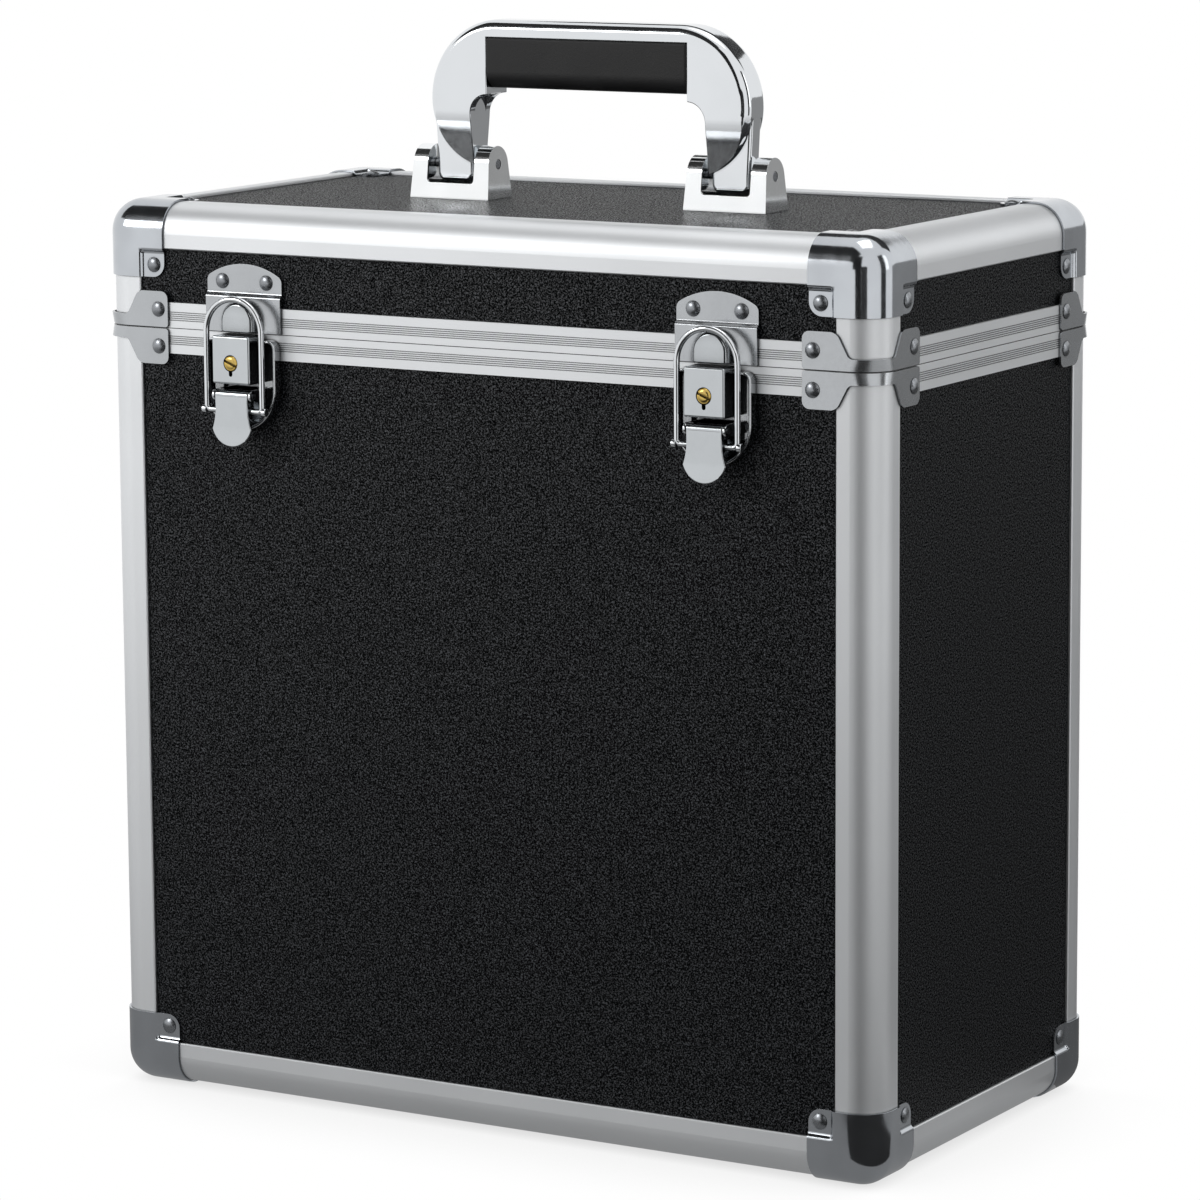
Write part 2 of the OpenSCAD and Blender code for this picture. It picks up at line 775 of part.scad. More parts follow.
module lid_rivets() {
    on_lid_top() at_four_corners() ball_corner_rivets();
    translate([0, 0, seam_z]) at_four_corners() seam_bracket_rivets();
    for (side = [-1, 1]) {
        at_hinge(side) hinge_rivets();
        at_latch(side) on_both_sides()
            translate([catch_rivet_offset, catch_back_out + latch_sheet, catch_rivet_height])
                rotate([90, 0, 0]) rivet(latch_sheet);
    }
}

// ---------- Latch, on the base ----------

// Base plate seen from the front, smaller all round by an inset
module latch_plate_outline(inset) {
    half = latch_plate_radius - inset;
    corner = latch_plate_corner - inset;
    top = -latch_plate_top - inset;
    translate([0, latch_plate_round_z]) circle(half);
    translate([-half, latch_plate_round_z]) square([2 * half, top - corner - latch_plate_round_z]);
    translate([-half + corner, latch_plate_round_z])
        square([2 * half - 2 * corner, top - latch_plate_round_z]);
    translate([-half + corner, top - corner]) circle(corner);
    translate([half - corner, top - corner]) circle(corner);
}

// Pressed lock box, hollow behind its face
module lock_box() {
    height = lock_box_drop + lock_box_top;
    difference() {
        front_plate(latch_back, lock_box_out)
            translate([-lock_box_width / 2, -lock_box_drop]) square([lock_box_width, height]);
        front_plate(latch_face, lock_box_out - latch_sheet)
            translate([-lock_box_inside, -lock_box_drop + latch_sheet])
                square([2 * lock_box_inside, height - 2 * latch_sheet]);
    }
}

// Ears that hold the lever's pin
module lever_ears() {
    on_both_sides() side_plate(ear_inside, ear_inside + ear_thickness) {
        translate([-lever_pivot_out, lever_pivot_z]) circle(ear_radius);
        translate([-lever_pivot_out, lever_pivot_z - ear_radius])
            square([lever_pivot_out - latch_back, 2 * ear_radius]);
    }
}

module latch_base() {
    pad_half = latch_plate_width / 3;
    color(chrome)
        difference() {
            union() {
                front_plate(latch_back, latch_face) latch_plate_outline(0);
                front_plate(latch_face, latch_face + latch_plate_edge)
                    difference() {
                        latch_plate_outline(0);
                        latch_plate_outline(latch_sheet);
                    }
                front_plate(seat_gap - panel_inset, latch_back)
                    translate([-pad_half, latch_plate_round_z - pad_half])
                        square([2 * pad_half, -latch_plate_round_z + pad_half - rim_height - moving_gap]);
                lock_box();
                lever_ears();
            }
            cross_bar(-lever_pivot_out, lever_pivot_z, lever_pin_radius + pin_fit, latch_plate_width);
            front_plate(lock_box_out - 2 * latch_sheet, lock_box_out + 1) {
                translate([0, -plug_drop]) circle(plug_radius + pin_fit);
                translate([-key_slot_width / 2, -plug_drop - key_slot_drop + key_slot_width / 2])
                    square([key_slot_width, key_slot_drop]);
                translate([0, -plug_drop - key_slot_drop + key_slot_width / 2]) circle(key_slot_width / 2);
            }
        }
}

// Plug of the lock, with its collar, its tail and the cam behind
module lock_plug() {
    collar_face = lock_box_out - latch_sheet - seat_gap;
    cam_face = collar_face - plug_collar;
    color(brass)
        difference() {
            union() {
                front_plate(cam_face, plug_face) translate([0, -plug_drop]) circle(plug_radius);
                front_plate(collar_face - plug_collar, collar_face)
                    translate([0, -plug_drop]) circle(plug_radius + 0.8);
                front_plate(latch_face + seat_gap, cam_face)
                    translate([0, -plug_drop]) circle(plug_radius / 2);
                front_plate(cam_face - cam_thickness, cam_face) {
                    translate([-cam_width / 2, -plug_drop - cam_length + cam_width / 2])
                        square([cam_width, cam_length - cam_width / 2]);
                    translate([0, -plug_drop - cam_length + cam_width / 2]) circle(cam_width / 2);
                }
            }
            front_plate(plug_face - plug_slot_depth, plug_face + 1)
                translate([0, -plug_drop])
                    rotate(-plug_slot_turn) square([4 * plug_radius, plug_slot_width], center = true);
        }
}

// Tongue seen from the front, from the lever's pivot down
module tongue_outline() {
    straight_z = lever_pivot_z - lever_straight;
    wide_z = lever_pivot_z - tongue_wide_drop;
    polygon([
        [-lever_width / 2, lever_pivot_z],
        [-lever_width / 2, straight_z],
        [-tongue_width / 2, wide_z],
        [tongue_width / 2, wide_z],
        [lever_width / 2, straight_z],
        [lever_width / 2, lever_pivot_z]
    ]);
    intersection() {
        translate([0, lever_pivot_z - tongue_tip_drop + tongue_tip_radius]) circle(tongue_tip_radius);
        translate([-tongue_width, wide_z - 2 * tongue_bulge]) square([2 * tongue_width, 2 * tongue_bulge]);
    }
}

// Side cheek of the lever, which carries the end of the bail
module lever_cheek_outline() {
    difference() {
        union() {
            translate([-lever_pivot_out, lever_pivot_z]) circle(lever_barrel_radius);
            translate([-bail_out, bail_pivot_z]) circle(cheek_radius);
            translate([-lock_box_out, bail_pivot_z - cheek_radius])
                square([lock_box_out - bail_out, lever_pivot_z - bail_pivot_z + cheek_radius]);
            translate([-bail_out, bail_pivot_z]) square([cheek_radius, bail_pivot_drop]);
        }
        translate([-bail_out, bail_pivot_z]) circle(bail_wire_radius + pin_fit);
    }
}

module latch_lever() {
    color(chrome)
        difference() {
            union() {
                cross_bar(-lever_pivot_out, lever_pivot_z, lever_barrel_radius, lever_width / 2);
                front_plate(lock_box_out - tongue_sheet, lock_box_out) tongue_outline();
                on_both_sides()
                    side_plate(lever_width / 2 - cheek_thickness, lever_width / 2) lever_cheek_outline();
            }
            cross_bar(-lever_pivot_out, lever_pivot_z, lever_pin_radius + pin_fit, lever_width);
        }
}

// Wire bail: an arch, two legs and two ends turned into the lever's cheeks
module latch_bail() {
    stub_inside = lever_width / 2 - 2 * cheek_thickness;
    head_start = bail_arch_radius + bail_wire_radius / 2;
    head_end = bail_arch_radius + bail_wire_radius + bail_head_length;
    color(chrome)
        translate([0, -bail_out, 0]) {
            translate([0, 0, bail_arch_z])
                rotate([90, 0, 0])
                    rotate_extrude(angle = 180) translate([bail_arch_radius, 0]) circle(bail_wire_radius);
            on_both_sides() {
                translate([bail_arch_radius, 0, bail_pivot_z])
                    cylinder(r = bail_wire_radius, h = bail_arch_z - bail_pivot_z);
                translate([bail_arch_radius, 0, bail_pivot_z]) sphere(bail_wire_radius);
                translate([stub_inside, 0, bail_pivot_z])
                    rotate([0, 90, 0]) cylinder(r = bail_wire_radius, h = bail_arch_radius - stub_inside);
                translate([head_start, 0, bail_pivot_z])
                    rotate([0, 90, 0]) cylinder(r = bail_head_radius, h = head_end - head_start);
            }
        }
}

module lever_pins() {
    half = ear_inside + ear_thickness + moving_gap;
    color(chrome)
        for (side = [-1, 1]) {
            at_latch(side) cross_bar(-lever_pivot_out, lever_pivot_z, lever_pin_radius, half);
        }
}

// ---------- Latch, on the lid ----------

catch_back_out = seat_gap - panel_inset;

// Catch plate seen from the front
module catch_outline() {
    translate([-catch_width / 2, seam_gap]) square([catch_width, catch_shoulder - seam_gap]);
    intersection() {
        translate([0, catch_height - catch_round]) circle(catch_round);
        translate([-catch_width / 2, catch_shoulder - 1]) square([catch_width, catch_height]);
    }
}

// The stretch of the catch plate between two heights
module catch_band(z_from, z_to) {
    intersection() {
        catch_outline();
        translate([-catch_width, z_from]) square([2 * catch_width, z_to - z_from]);
    }
}

// Half section of the dome: its radius and how far it stands out
module dome_section() {
    square([dome_radius - dome_edge_radius, dome_out - latch_back]);
    square([dome_radius, dome_out - latch_back - dome_edge_radius]);
    translate([dome_radius - dome_edge_radius, dome_out - latch_back - dome_edge_radius])
        circle(dome_edge_radius);
}

module catch_dome() {
    round_z = dome_height - dome_radius;
    translate([0, -latch_back, round_z])
        rotate([90, 0, 0]) rotate_extrude(angle = 180)
            intersection() {
                dome_section();
                square([dome_radius, dome_out]);
            }
    translate([0, 0, dome_bottom])
        linear_extrude(round_z - dome_bottom)
            on_both_sides() translate([0, -latch_back]) mirror([0, 1])
                intersection() {
                    dome_section();
                    square([dome_radius, dome_out]);
                }
}

module latch_catch() {
    color(chrome)
        difference() {
            union() {
                front_plate(latch_back, latch_face) catch_band(0, catch_fold);
                front_plate(catch_back_out, latch_face) catch_band(catch_fold - latch_sheet, catch_fold);
                front_plate(catch_back_out, catch_back_out + latch_sheet)
                    catch_band(catch_fold - latch_sheet, catch_height + 1);
                catch_dome();
            }
            on_both_sides()
                front_plate(catch_back_out - 1, latch_face)
                    translate([catch_rivet_offset, catch_rivet_height]) circle(rivet_hole_radius);
        }
}

// ---------- Hinges ----------

// Stop flange that points outwards and away from the seam, below it
module hinge_stop(half_length) {
    translate([-half_length, hinge_axis_out, 0])
        rotate([hinge_stop_angle, 0, 0])
            translate([0, -hinge_stop_thickness / 2, -hinge_stop_length])
                cube([2 * half_length, hinge_stop_thickness, hinge_stop_length]);
}

// Flat of a hinge leaf below the seam, with the web up to its knuckle
module hinge_flat(half_length, z_top) {
    translate([-half_length, seat_gap, -hinge_leaf_height])
        cube([2 * half_length, hinge_leaf_thickness, hinge_leaf_height - z_top]);
}

module hinge_leaf_holes() {
    for (side = [-1, 1]) {
        translate([side * hinge_rivet_offset, 0, -hinge_rivet_height])
            rotate([-90, 0, 0]) cylinder(r = rivet_hole_radius, h = 2 * hinge_leaf_thickness);
    }
    cross_bar(hinge_axis_out, 0, hinge_pin_radius + pin_fit, hinge_length);
}

// Web that joins a knuckle to its leaf, below the seam
module hinge_web(half_length) {
    translate([-half_length, seat_gap, -hinge_knuckle_radius])
        cube([2 * half_length, hinge_axis_out - seat_gap, hinge_knuckle_radius - seam_gap]);
}

// Leaf on the base, with the two outer knuckles
module hinge_base_leaf() {
    middle_half = knuckle_half + moving_gap;
    color(nickel)
        difference() {
            union() {
                hinge_flat(hinge_half, seam_gap);
                hinge_web(hinge_half);
                cross_bar(hinge_axis_out, 0, hinge_knuckle_radius, hinge_half);
                hinge_stop(hinge_half);
            }
            cross_bar(hinge_axis_out, 0, hinge_relief, middle_half);
            translate([-middle_half, 0, -hinge_relief])
                cube([2 * middle_half, hinge_axis_out, 2 * hinge_relief]);
            hinge_leaf_holes();
        }
}

// Leaf on the lid, with the middle knuckle
module hinge_lid_leaf() {
    color(nickel)
        mirror([0, 0, 1])
            difference() {
                union() {
                    hinge_flat(hinge_half, hinge_relief);
                    hinge_flat(knuckle_half, seam_gap);
                    hinge_web(knuckle_half);
                    cross_bar(hinge_axis_out, 0, hinge_knuckle_radius, knuckle_half);
                    hinge_stop(knuckle_half);
                }
                hinge_leaf_holes();
            }
}

module hinge_pins() {
    color(rivet_steel)
        for (side = [-1, 1]) {
            at_hinge(side) cross_bar(hinge_axis_out, 0, hinge_pin_radius, hinge_half);
        }
}

// ---------- Handle ----------

// Both ears of a handle bracket as one bar: round at the pivot, wider at the foot
module handle_ear_bar() {
    foot_half = handle_bracket_depth / 2;
    neck_half = handle_ear_radius * 0.92;
    neck_z = handle_pivot_z + handle_ear_radius * 0.3;
    cross_bar(0, handle_pivot_z, handle_ear_radius, handle_bracket_length);
    side_plate(-handle_bracket_length, handle_bracket_length)
        polygon([
            [-foot_half, bracket_foot_z],
            [-neck_half, neck_z],
            [neck_half, neck_z],
            [foot_half, bracket_foot_z]
        ]);
}

// Handle bracket seen from the front: two ears and the low wall between them
module handle_bracket_outline() {
    gap_half = handle_bracket_gap / 2;
    foot_half = handle_bracket_length / 2;
    top_half = handle_bracket_top_length / 2;
    wall_top = case_top + handle_wall_height;
    polygon([
        [-foot_half, bracket_foot_z],
        [foot_half, bracket_foot_z],
        [top_half, handle_ear_top + 1],
        [gap_half, handle_ear_top + 1],
        [gap_half, wall_top],
        [-gap_half, wall_top],
        [-gap_half, handle_ear_top + 1],
        [-top_half, handle_ear_top + 1]
    ]);
}

module handle_bracket(side) {
    gap_half = handle_bracket_gap / 2;
    wall_inside = handle_bracket_depth / 2 - handle_wall_thickness;
    color(chrome)
        translate([side * handle_bracket_offset, 0, 0])
            difference() {
                intersection() {
                    union() handle_ear_bar();
                    front_plate(-handle_bracket_depth, handle_bracket_depth) handle_bracket_outline();
                }
                translate([-gap_half, -wall_inside, 0])
                    cube([2 * gap_half, 2 * wall_inside, 2 * case_top]);
                cross_bar(0, handle_pivot_z, handle_pin_radius + pin_fit, handle_bracket_length);
            }
}

module handle_pins() {
    half = handle_bracket_top_length / 2 - 1;
    color(rivet_steel)
        for (side = [-1, 1]) {
            translate([side * handle_bracket_offset, 0, 0])
                cross_bar(0, handle_pivot_z, handle_pin_radius, half);
        }
}

// Outline of the whole handle with square legs, seen from the front
module handle_outline() {
    translate([-handle_corner_x, handle_corner_z])
        square([2 * handle_corner_x, handle_corner_radius]);
    on_both_sides() translate([handle_corner_x, handle_corner_z]) circle(handle_corner_radius);
    translate([-handle_width / 2, handle_pivot_z])
        square([handle_width, handle_corner_z - handle_pivot_z]);
}

// Room inside the handle: the hand gap and the seat of the grip
module handle_window() {
    half = handle_inside_width / 2;
    translate([-half, handle_pivot_z - 1]) square([2 * half, shoulder_z - handle_pivot_z + 1]);
    translate([-handle_shoulder_x, shoulder_z - 1])
        square([2 * handle_shoulder_x, handle_top_z - handle_strip - shoulder_z + 1]);
}

// The deep bow of the handle seen from the front, with its round lower ends
module bow_outline() {
    difference() {
        intersection() {
            handle_outline();
            union() {
                translate([-handle_width, handle_corner_z]) square([2 * handle_width, handle_height]);
                on_both_sides() translate([grip_length / 2, handle_corner_z]) circle(handle_bow_radius);
            }
        }
        handle_window();
    }
}

// Foot and thin leg of the handle on one side, seen from the front
module foot_outline() {
    foot_round = 3;
    foot_outside = handle_foot_x + handle_foot_width;
    foot_bottom = handle_pivot_z - handle_foot_drop;
    polygon([
        [handle_foot_x, foot_bottom + foot_round],
        [handle_foot_x, handle_pivot_z],
        [handle_inside_width / 2, handle_corner_z],
        [handle_width / 2, handle_corner_z],
        [foot_outside, handle_pivot_z],
        [foot_outside, foot_bottom + foot_round]
    ]);
    translate([handle_foot_x + foot_round, foot_bottom])
        square([handle_foot_width - 2 * foot_round, 2 * foot_round]);
    translate([handle_foot_x + foot_round, foot_bottom + foot_round]) circle(foot_round);
    translate([foot_outside - foot_round, foot_bottom + foot_round]) circle(foot_round);
}

// Section across the bow: how far its outer edges are rounded, seen from the side
module bow_section(z_top) {
    half = handle_depth / 2;
    flat = half - handle_edge_radius;
    translate([-flat, 0]) square([2 * flat, z_top]);
    translate([-half, 0]) square([2 * half, z_top - handle_edge_radius]);
    translate([-flat, z_top - handle_edge_radius]) circle(handle_edge_radius);
    translate([flat, z_top - handle_edge_radius]) circle(handle_edge_radius);
}

// Bow seen from the side: deep above its shoulders, thinner towards the tips of its ends
module bow_side() {
    half = handle_depth / 2;
    tip_half = handle_tip_depth / 2;
    tip_z = handle_corner_z - handle_bow_radius;
    polygon([
        [-half, handle_top_z],
        [half, handle_top_z],
        [half, shoulder_z],
        [tip_half, tip_z],
        [-tip_half, tip_z],
        [-half, shoulder_z]
    ]);
}

// Bow as a solid, its outer edges rounded along the top, the corners and the sides
module bow() {
    half = handle_depth / 2;
    intersection() {
        front_plate(-half, half) bow_outline();
        side_plate(-handle_width, handle_width) bow_side();
        union() {
            side_plate(-handle_corner_x, handle_corner_x) bow_section(handle_top_z);
            on_both_sides() {
                translate([handle_corner_x, 0, handle_corner_z])
                    rotate([90, 0, 0]) rotate_extrude()
                        intersection() {
                            rotate(-90) bow_section(handle_corner_radius);
                            translate([0, -handle_depth]) square([handle_corner_radius, 2 * handle_depth]);
                        }
                linear_extrude(handle_corner_z)
                    rotate(-90) bow_section(handle_width / 2);
            }
        }
    }
}

module handle_frame() {
    foot_half = handle_foot_thickness / 2;
    color(chrome)
        difference() {
            union() {
                bow();
                on_both_sides() front_plate(-foot_half, foot_half) foot_outline();
            }
            cross_bar(0, handle_pivot_z, handle_pin_radius + pin_fit, handle_width);
            on_both_sides()
                translate([screw_x, 0, shoulder_z - 1]) cylinder(r = rivet_hole_radius, h = 1 + screw_length);
        }
}

// Soft grip that fills the bow under its strip
module handle_grip() {
    half = grip_depth / 2;
    low = grip_bottom_z + grip_radius;
    color(rubber)
        side_plate(-grip_length / 2, grip_length / 2) {
            translate([-half, low]) square([grip_depth, grip_top_z - low]);
            translate([-half + grip_radius, grip_bottom_z])
                square([grip_depth - 2 * grip_radius, grip_height]);
            translate([-half + grip_radius, low]) circle(grip_radius);
            translate([half - grip_radius, low]) circle(grip_radius);
        }
}

// Screws that close the bow at the grip's ends, their round heads under the shoulders
module handle_screws() {
    head_ball = (pow(grip_screw_radius, 2) + pow(screw_head_height, 2)) / (2 * screw_head_height);
    color(rivet_steel)
        on_both_sides()
            translate([screw_x, 0, shoulder_z]) {
                translate([0, 0, -seat_gap])
                    intersection() {
                        translate([0, 0, head_ball - screw_head_height]) sphere(head_ball);
                        translate([0, 0, -2 * screw_head_height])
                            cylinder(r = 2 * grip_screw_radius, h = 2 * screw_head_height);
                    }
                translate([0, 0, -seat_gap]) cylinder(r = rivet_shank_radius, h = screw_length);
            }
}

base_front_panel();
base_back_panel();
base_left_panel();
base_right_panel();
base_bottom_panel();
base_corner_posts();
base_front_rail();
base_back_rail();
base_left_rail();
base_right_rail();
base_front_rim();
base_back_rim();
base_left_rim();
base_right_rim();
base_corner_caps();
base_seam_brackets();
base_rivets();
base_wall_lining();
base_floor_lining();
at_hinge(-1) hinge_base_leaf();  // left_hinge_base_leaf
at_hinge(1) hinge_base_leaf();  // right_hinge_base_leaf
hinge_pins();
at_latch(-1) latch_base();  // left_latch_base
at_latch(1) latch_base();  // right_latch_base
lever_pins();
lid_top_panel();
lid_front_panel();
lid_back_panel();
lid_left_panel();
lid_right_panel();
lid_corner_posts();
lid_front_rail();
lid_back_rail();
lid_left_rail();
lid_right_rail();
lid_front_rim();
lid_back_rim();
lid_left_rim();
lid_right_rim();
lid_corner_caps();
lid_seam_brackets();
lid_rivets();
lid_lining();
at_hinge(-1) hinge_lid_leaf();  // left_hinge_lid_leaf
at_hinge(1) hinge_lid_leaf();  // right_hinge_lid_leaf
at_latch(-1) latch_catch();  // left_latch_catch
at_latch(1) latch_catch();  // right_latch_catch
handle_bracket(-1);  // left_handle_bracket
handle_bracket(1);  // right_handle_bracket
handle_pins();
handle_frame();
handle_grip();
handle_screws();
at_latch(-1) latch_lever();  // left_latch_lever
at_latch(1) latch_lever();  // right_latch_lever
at_latch(-1) latch_bail();  // left_latch_bail
at_latch(1) latch_bail();  // right_latch_bail
at_latch(-1) lock_plug();  // left_lock_plug
at_latch(1) lock_plug();  // right_lock_plug
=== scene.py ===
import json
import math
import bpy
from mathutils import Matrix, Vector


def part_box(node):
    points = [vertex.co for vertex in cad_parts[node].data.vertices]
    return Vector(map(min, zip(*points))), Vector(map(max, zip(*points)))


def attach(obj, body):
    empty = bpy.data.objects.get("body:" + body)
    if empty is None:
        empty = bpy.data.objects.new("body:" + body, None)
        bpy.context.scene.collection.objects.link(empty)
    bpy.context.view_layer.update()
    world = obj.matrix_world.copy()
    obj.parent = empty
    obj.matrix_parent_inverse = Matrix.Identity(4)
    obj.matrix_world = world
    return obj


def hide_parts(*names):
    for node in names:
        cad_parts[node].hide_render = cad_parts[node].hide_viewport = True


bl_info = {
    "name": "Record carrying case",
    "version": (1, 0, 0),
    "blender": (4, 5, 0),
    "location": "3D View > Sidebar > Record case",
    "description": "Dresses a packed record case with its fittings, finishes and studio stage",
    "category": "Add Mesh",
}

from types import SimpleNamespace

import bmesh
import bpy
from bpy.props import FloatProperty, FloatVectorProperty, PointerProperty
from mathutils import Matrix, Vector

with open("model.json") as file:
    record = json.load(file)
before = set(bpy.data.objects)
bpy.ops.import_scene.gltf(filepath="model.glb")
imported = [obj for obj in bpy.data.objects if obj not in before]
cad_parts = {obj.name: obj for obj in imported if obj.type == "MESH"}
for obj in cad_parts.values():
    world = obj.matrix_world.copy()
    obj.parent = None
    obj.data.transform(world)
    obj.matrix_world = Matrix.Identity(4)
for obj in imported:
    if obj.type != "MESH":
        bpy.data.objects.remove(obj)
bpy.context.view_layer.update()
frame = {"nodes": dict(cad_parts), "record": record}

# The pieces are shaped in millimetres and brought to metres when they are finished.
MM = 0.001
# Places closer together than this count as one.
HAIR = 0.01
# The CAD's own gaps: a fitting to what it sits on, and a fitting to the seam
SEAT_GAP = 0.1
SEAM_GAP = 0.3


def lowest(node):
    """A CAD node's lowest corner, in millimetres."""
    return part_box(node)[0] / MM


def highest(node):
    """A CAD node's highest corner, in millimetres."""
    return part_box(node)[1] / MM


def centre(node):
    """The middle of a CAD node's box, in millimetres."""
    return (lowest(node) + highest(node)) / 2


# Places that the fittings are set against, read from the CAD nodes
LEFT = lowest("base_left_rail").x
FRONT = lowest("base_front_rail").y
BOTTOM = lowest("base_front_rail").z
TOP = highest("lid_front_rail").z
SEAM = (highest("base_corner_posts").z + lowest("lid_corner_posts").z) / 2
LATCH_X = centre("right_latch_base").x
BRACKET_X = centre("right_handle_bracket").x
BRACKET_FOOT = lowest("right_handle_bracket").z
PIVOT_Z = centre("handle_pins").z
HANDLE_TOP = highest("handle_frame").z


# ---------- Shaping ----------


def leave_edit():
    """Back to object mode with nothing selected."""
    if bpy.context.object and bpy.context.object.mode != "OBJECT":
        bpy.ops.object.mode_set(mode="OBJECT")
    bpy.ops.object.select_all(action="DESELECT")


def choose(piece):
    """Makes one piece the only selected and active object."""
    leave_edit()
    piece.select_set(True)
    bpy.context.view_layer.objects.active = piece


def edit(piece):
    """Opens one piece for editing with nothing selected."""
    choose(piece)
    bpy.ops.object.mode_set(mode="EDIT")
    bpy.ops.mesh.select_all(action="DESELECT")


def pick(kind, test):
    """Selects the vertices, edges or faces of the open piece for which the test holds."""
    bpy.ops.mesh.select_mode(type=kind)
    bpy.ops.mesh.select_all(action="DESELECT")
    mesh = bmesh.from_edit_mesh(bpy.context.object.data)
    for part in {"VERT": mesh.verts, "EDGE": mesh.edges, "FACE": mesh.faces}[kind]:
        if test(part):
            part.select_set(True)
    mesh.select_flush_mode()
    bmesh.update_edit_mesh(bpy.context.object.data)


def everything(part):
    return True


def middle(edge):
    return (edge.verts[0].co + edge.verts[1].co) / 2


def run(edge):
    """The direction of an edge, without its sense."""
    step = (edge.verts[1].co - edge.verts[0].co).normalized()
    return Vector([abs(value) for value in step])


def fold(edge):
    """How far the faces on both sides of an edge are folded, in degrees, or 0 at a border."""
    return math.degrees(edge.calc_face_angle(0))


def move(x=0, y=0, z=0):
    bpy.ops.transform.translate(value=(x, y, z))


def pull(x=0, y=0, z=0):
    """Extrudes what is selected."""
    bpy.ops.mesh.extrude_region_move(TRANSFORM_OT_translate={"value": (x, y, z)})


def slice_at(place, normal, clear=False):
    """Cuts the open piece along a plane, and may clear and close the side in front of it."""
    bpy.ops.mesh.select_all(action="SELECT")
    bpy.ops.mesh.bisect(plane_co=place, plane_no=Vector(normal).normalized(), clear_outer=clear,
                        use_fill=clear)


def round_edges(test, width, segments):
    """Rounds the edges of the open piece for which the test holds."""
    pick("EDGE", test)
    bpy.ops.mesh.bevel(offset=width, segments=segments, affect="EDGES")


def round_corners(test, width, segments):
    """Rounds the corners of the open outline for which the test holds."""
    pick("VERT", test)
    bpy.ops.mesh.bevel(offset=width, segments=segments, affect="VERTICES")


def folded(angle):
    """A test for edges whose faces are folded further than an angle."""
    return lambda edge: fold(edge) > angle


def flip(test):
    """Turns round the faces of the open piece for which the test holds."""
    pick("FACE", test)
    bpy.ops.mesh.flip_normals()


def open_up(test):
    """Removes the faces of the open piece for which the test holds."""
    pick("FACE", test)
    bpy.ops.mesh.delete(type="FACE")


def face_outwards():
    bpy.ops.mesh.select_all(action="SELECT")
    bpy.ops.mesh.normals_make_consistent(inside=False)


def weld(distance=HAIR):
    """Merges the places of the open piece that lie closer together than a distance."""
    bpy.ops.mesh.select_all(action="SELECT")
    bpy.ops.mesh.remove_doubles(threshold=distance)


def refine(piece, kind, **settings):
    """Adds a modifier with its settings and applies it."""
    choose(piece)
    bpy.ops.object.modifier_add(type=kind)
    modifier = piece.modifiers[-1]
    for key, value in settings.items():
        setattr(modifier, key, value)
    bpy.ops.object.modifier_apply(modifier=modifier.name)


def soften(piece, width, segments=2, angle=50):
    """Rounds every edge that is folded further than the angle."""
    refine(piece, "BEVEL", width=width, segments=segments, limit_method="ANGLE",
           angle_limit=math.radians(angle))


def thicken(piece, thickness):
    """Gives an open skin its sheet, behind the face that shows."""
    refine(piece, "SOLIDIFY", thickness=thickness, offset=-1, use_even_offset=True)


def cut_out(piece, cutter):
    """Cuts the shape of the cutter out of a piece, and removes the cutter."""
    refine(piece, "BOOLEAN", object=cutter, operation="DIFFERENCE", solver="EXACT")
    bpy.data.objects.remove(cutter)


def join(pieces, name):
    """Makes one object of several pieces."""
    leave_edit()
    for piece in pieces:
        piece.select_set(True)
    bpy.context.view_layer.objects.active = pieces[0]
    if len(pieces) > 1:
        bpy.ops.object.join()
    pieces[0].name = pieces[0].data.name = name
    return pieces[0]


def twin(piece, matrix):
    """A copy with its own mesh, moved or mirrored by a matrix."""
    choose(piece)
    bpy.ops.object.duplicate()
    copy = bpy.context.object
    copy.data.transform(matrix)
    if matrix.determinant() < 0:
        copy.data.flip_normals()
    return copy


def with_mirror(piece, name):
    """The piece and its mirror image on the other side of X, as one object."""
    return join([piece, twin(piece, Matrix.Diagonal((-1, 1, 1, 1)))], name)


def start(name, add_primitive, **settings):
    """A new piece from a primitive, with its place, turn and size in its mesh."""
    leave_edit()
    add_primitive(**settings)
    piece = bpy.context.object
    piece.name = piece.data.name = name
    bpy.ops.object.transform_apply(location=True, rotation=True, scale=True)
    return piece


def trace(name, points, close=True):
    """A new piece whose outline is drawn corner by corner, and closed by a face."""
    points = [Vector(point) for point in points]
    piece = start(name, bpy.ops.mesh.primitive_plane_add, size=1)
    edit(piece)
    pick("VERT", everything)
    bpy.ops.mesh.merge(type="CENTER")
    bpy.ops.transform.translate(value=points[0])
    for here, there in zip(points, points[1:]):
        bpy.ops.mesh.extrude_vertices_move(TRANSFORM_OT_translate={"value": there - here})
    bpy.ops.mesh.select_all(action="SELECT")
    if close:
        bpy.ops.mesh.edge_face_add()
    return piece


def solid(name, points, x=0, y=0):
    """A new piece, drawn as an outline and pulled to its thickness."""
    piece = trace(name, points)
    pull(x, y)
    face_outwards()
    leave_edit()
    return piece


def revolve(name, points, axis, steps):
    """Turns a profile once round an axis through the origin."""
    piece = trace(name, points, close=False)
    bpy.ops.mesh.spin(steps=steps, angle=math.tau, center=(0, 0, 0), axis=axis)
    weld(HAIR / 10)
    face_outwards()
    leave_edit()
    return piece


def block(name, low, high):
    """A box between two corners."""
    low, high = Vector(low), Vector(high)
    return start(name, bpy.ops.mesh.primitive_cube_add, size=1, location=(low + high) / 2,
                 scale=high - low)


def rod(name, low, high, radius, sides):
    """A round bar between two places."""
    low, high = Vector(low), Vector(high)
    return start(name, bpy.ops.mesh.primitive_cylinder_add, vertices=sides, radius=radius,
                 depth=(high - low).length, location=(low + high) / 2,
                 rotation=(high - low).to_track_quat("Z", "Y").to_euler())


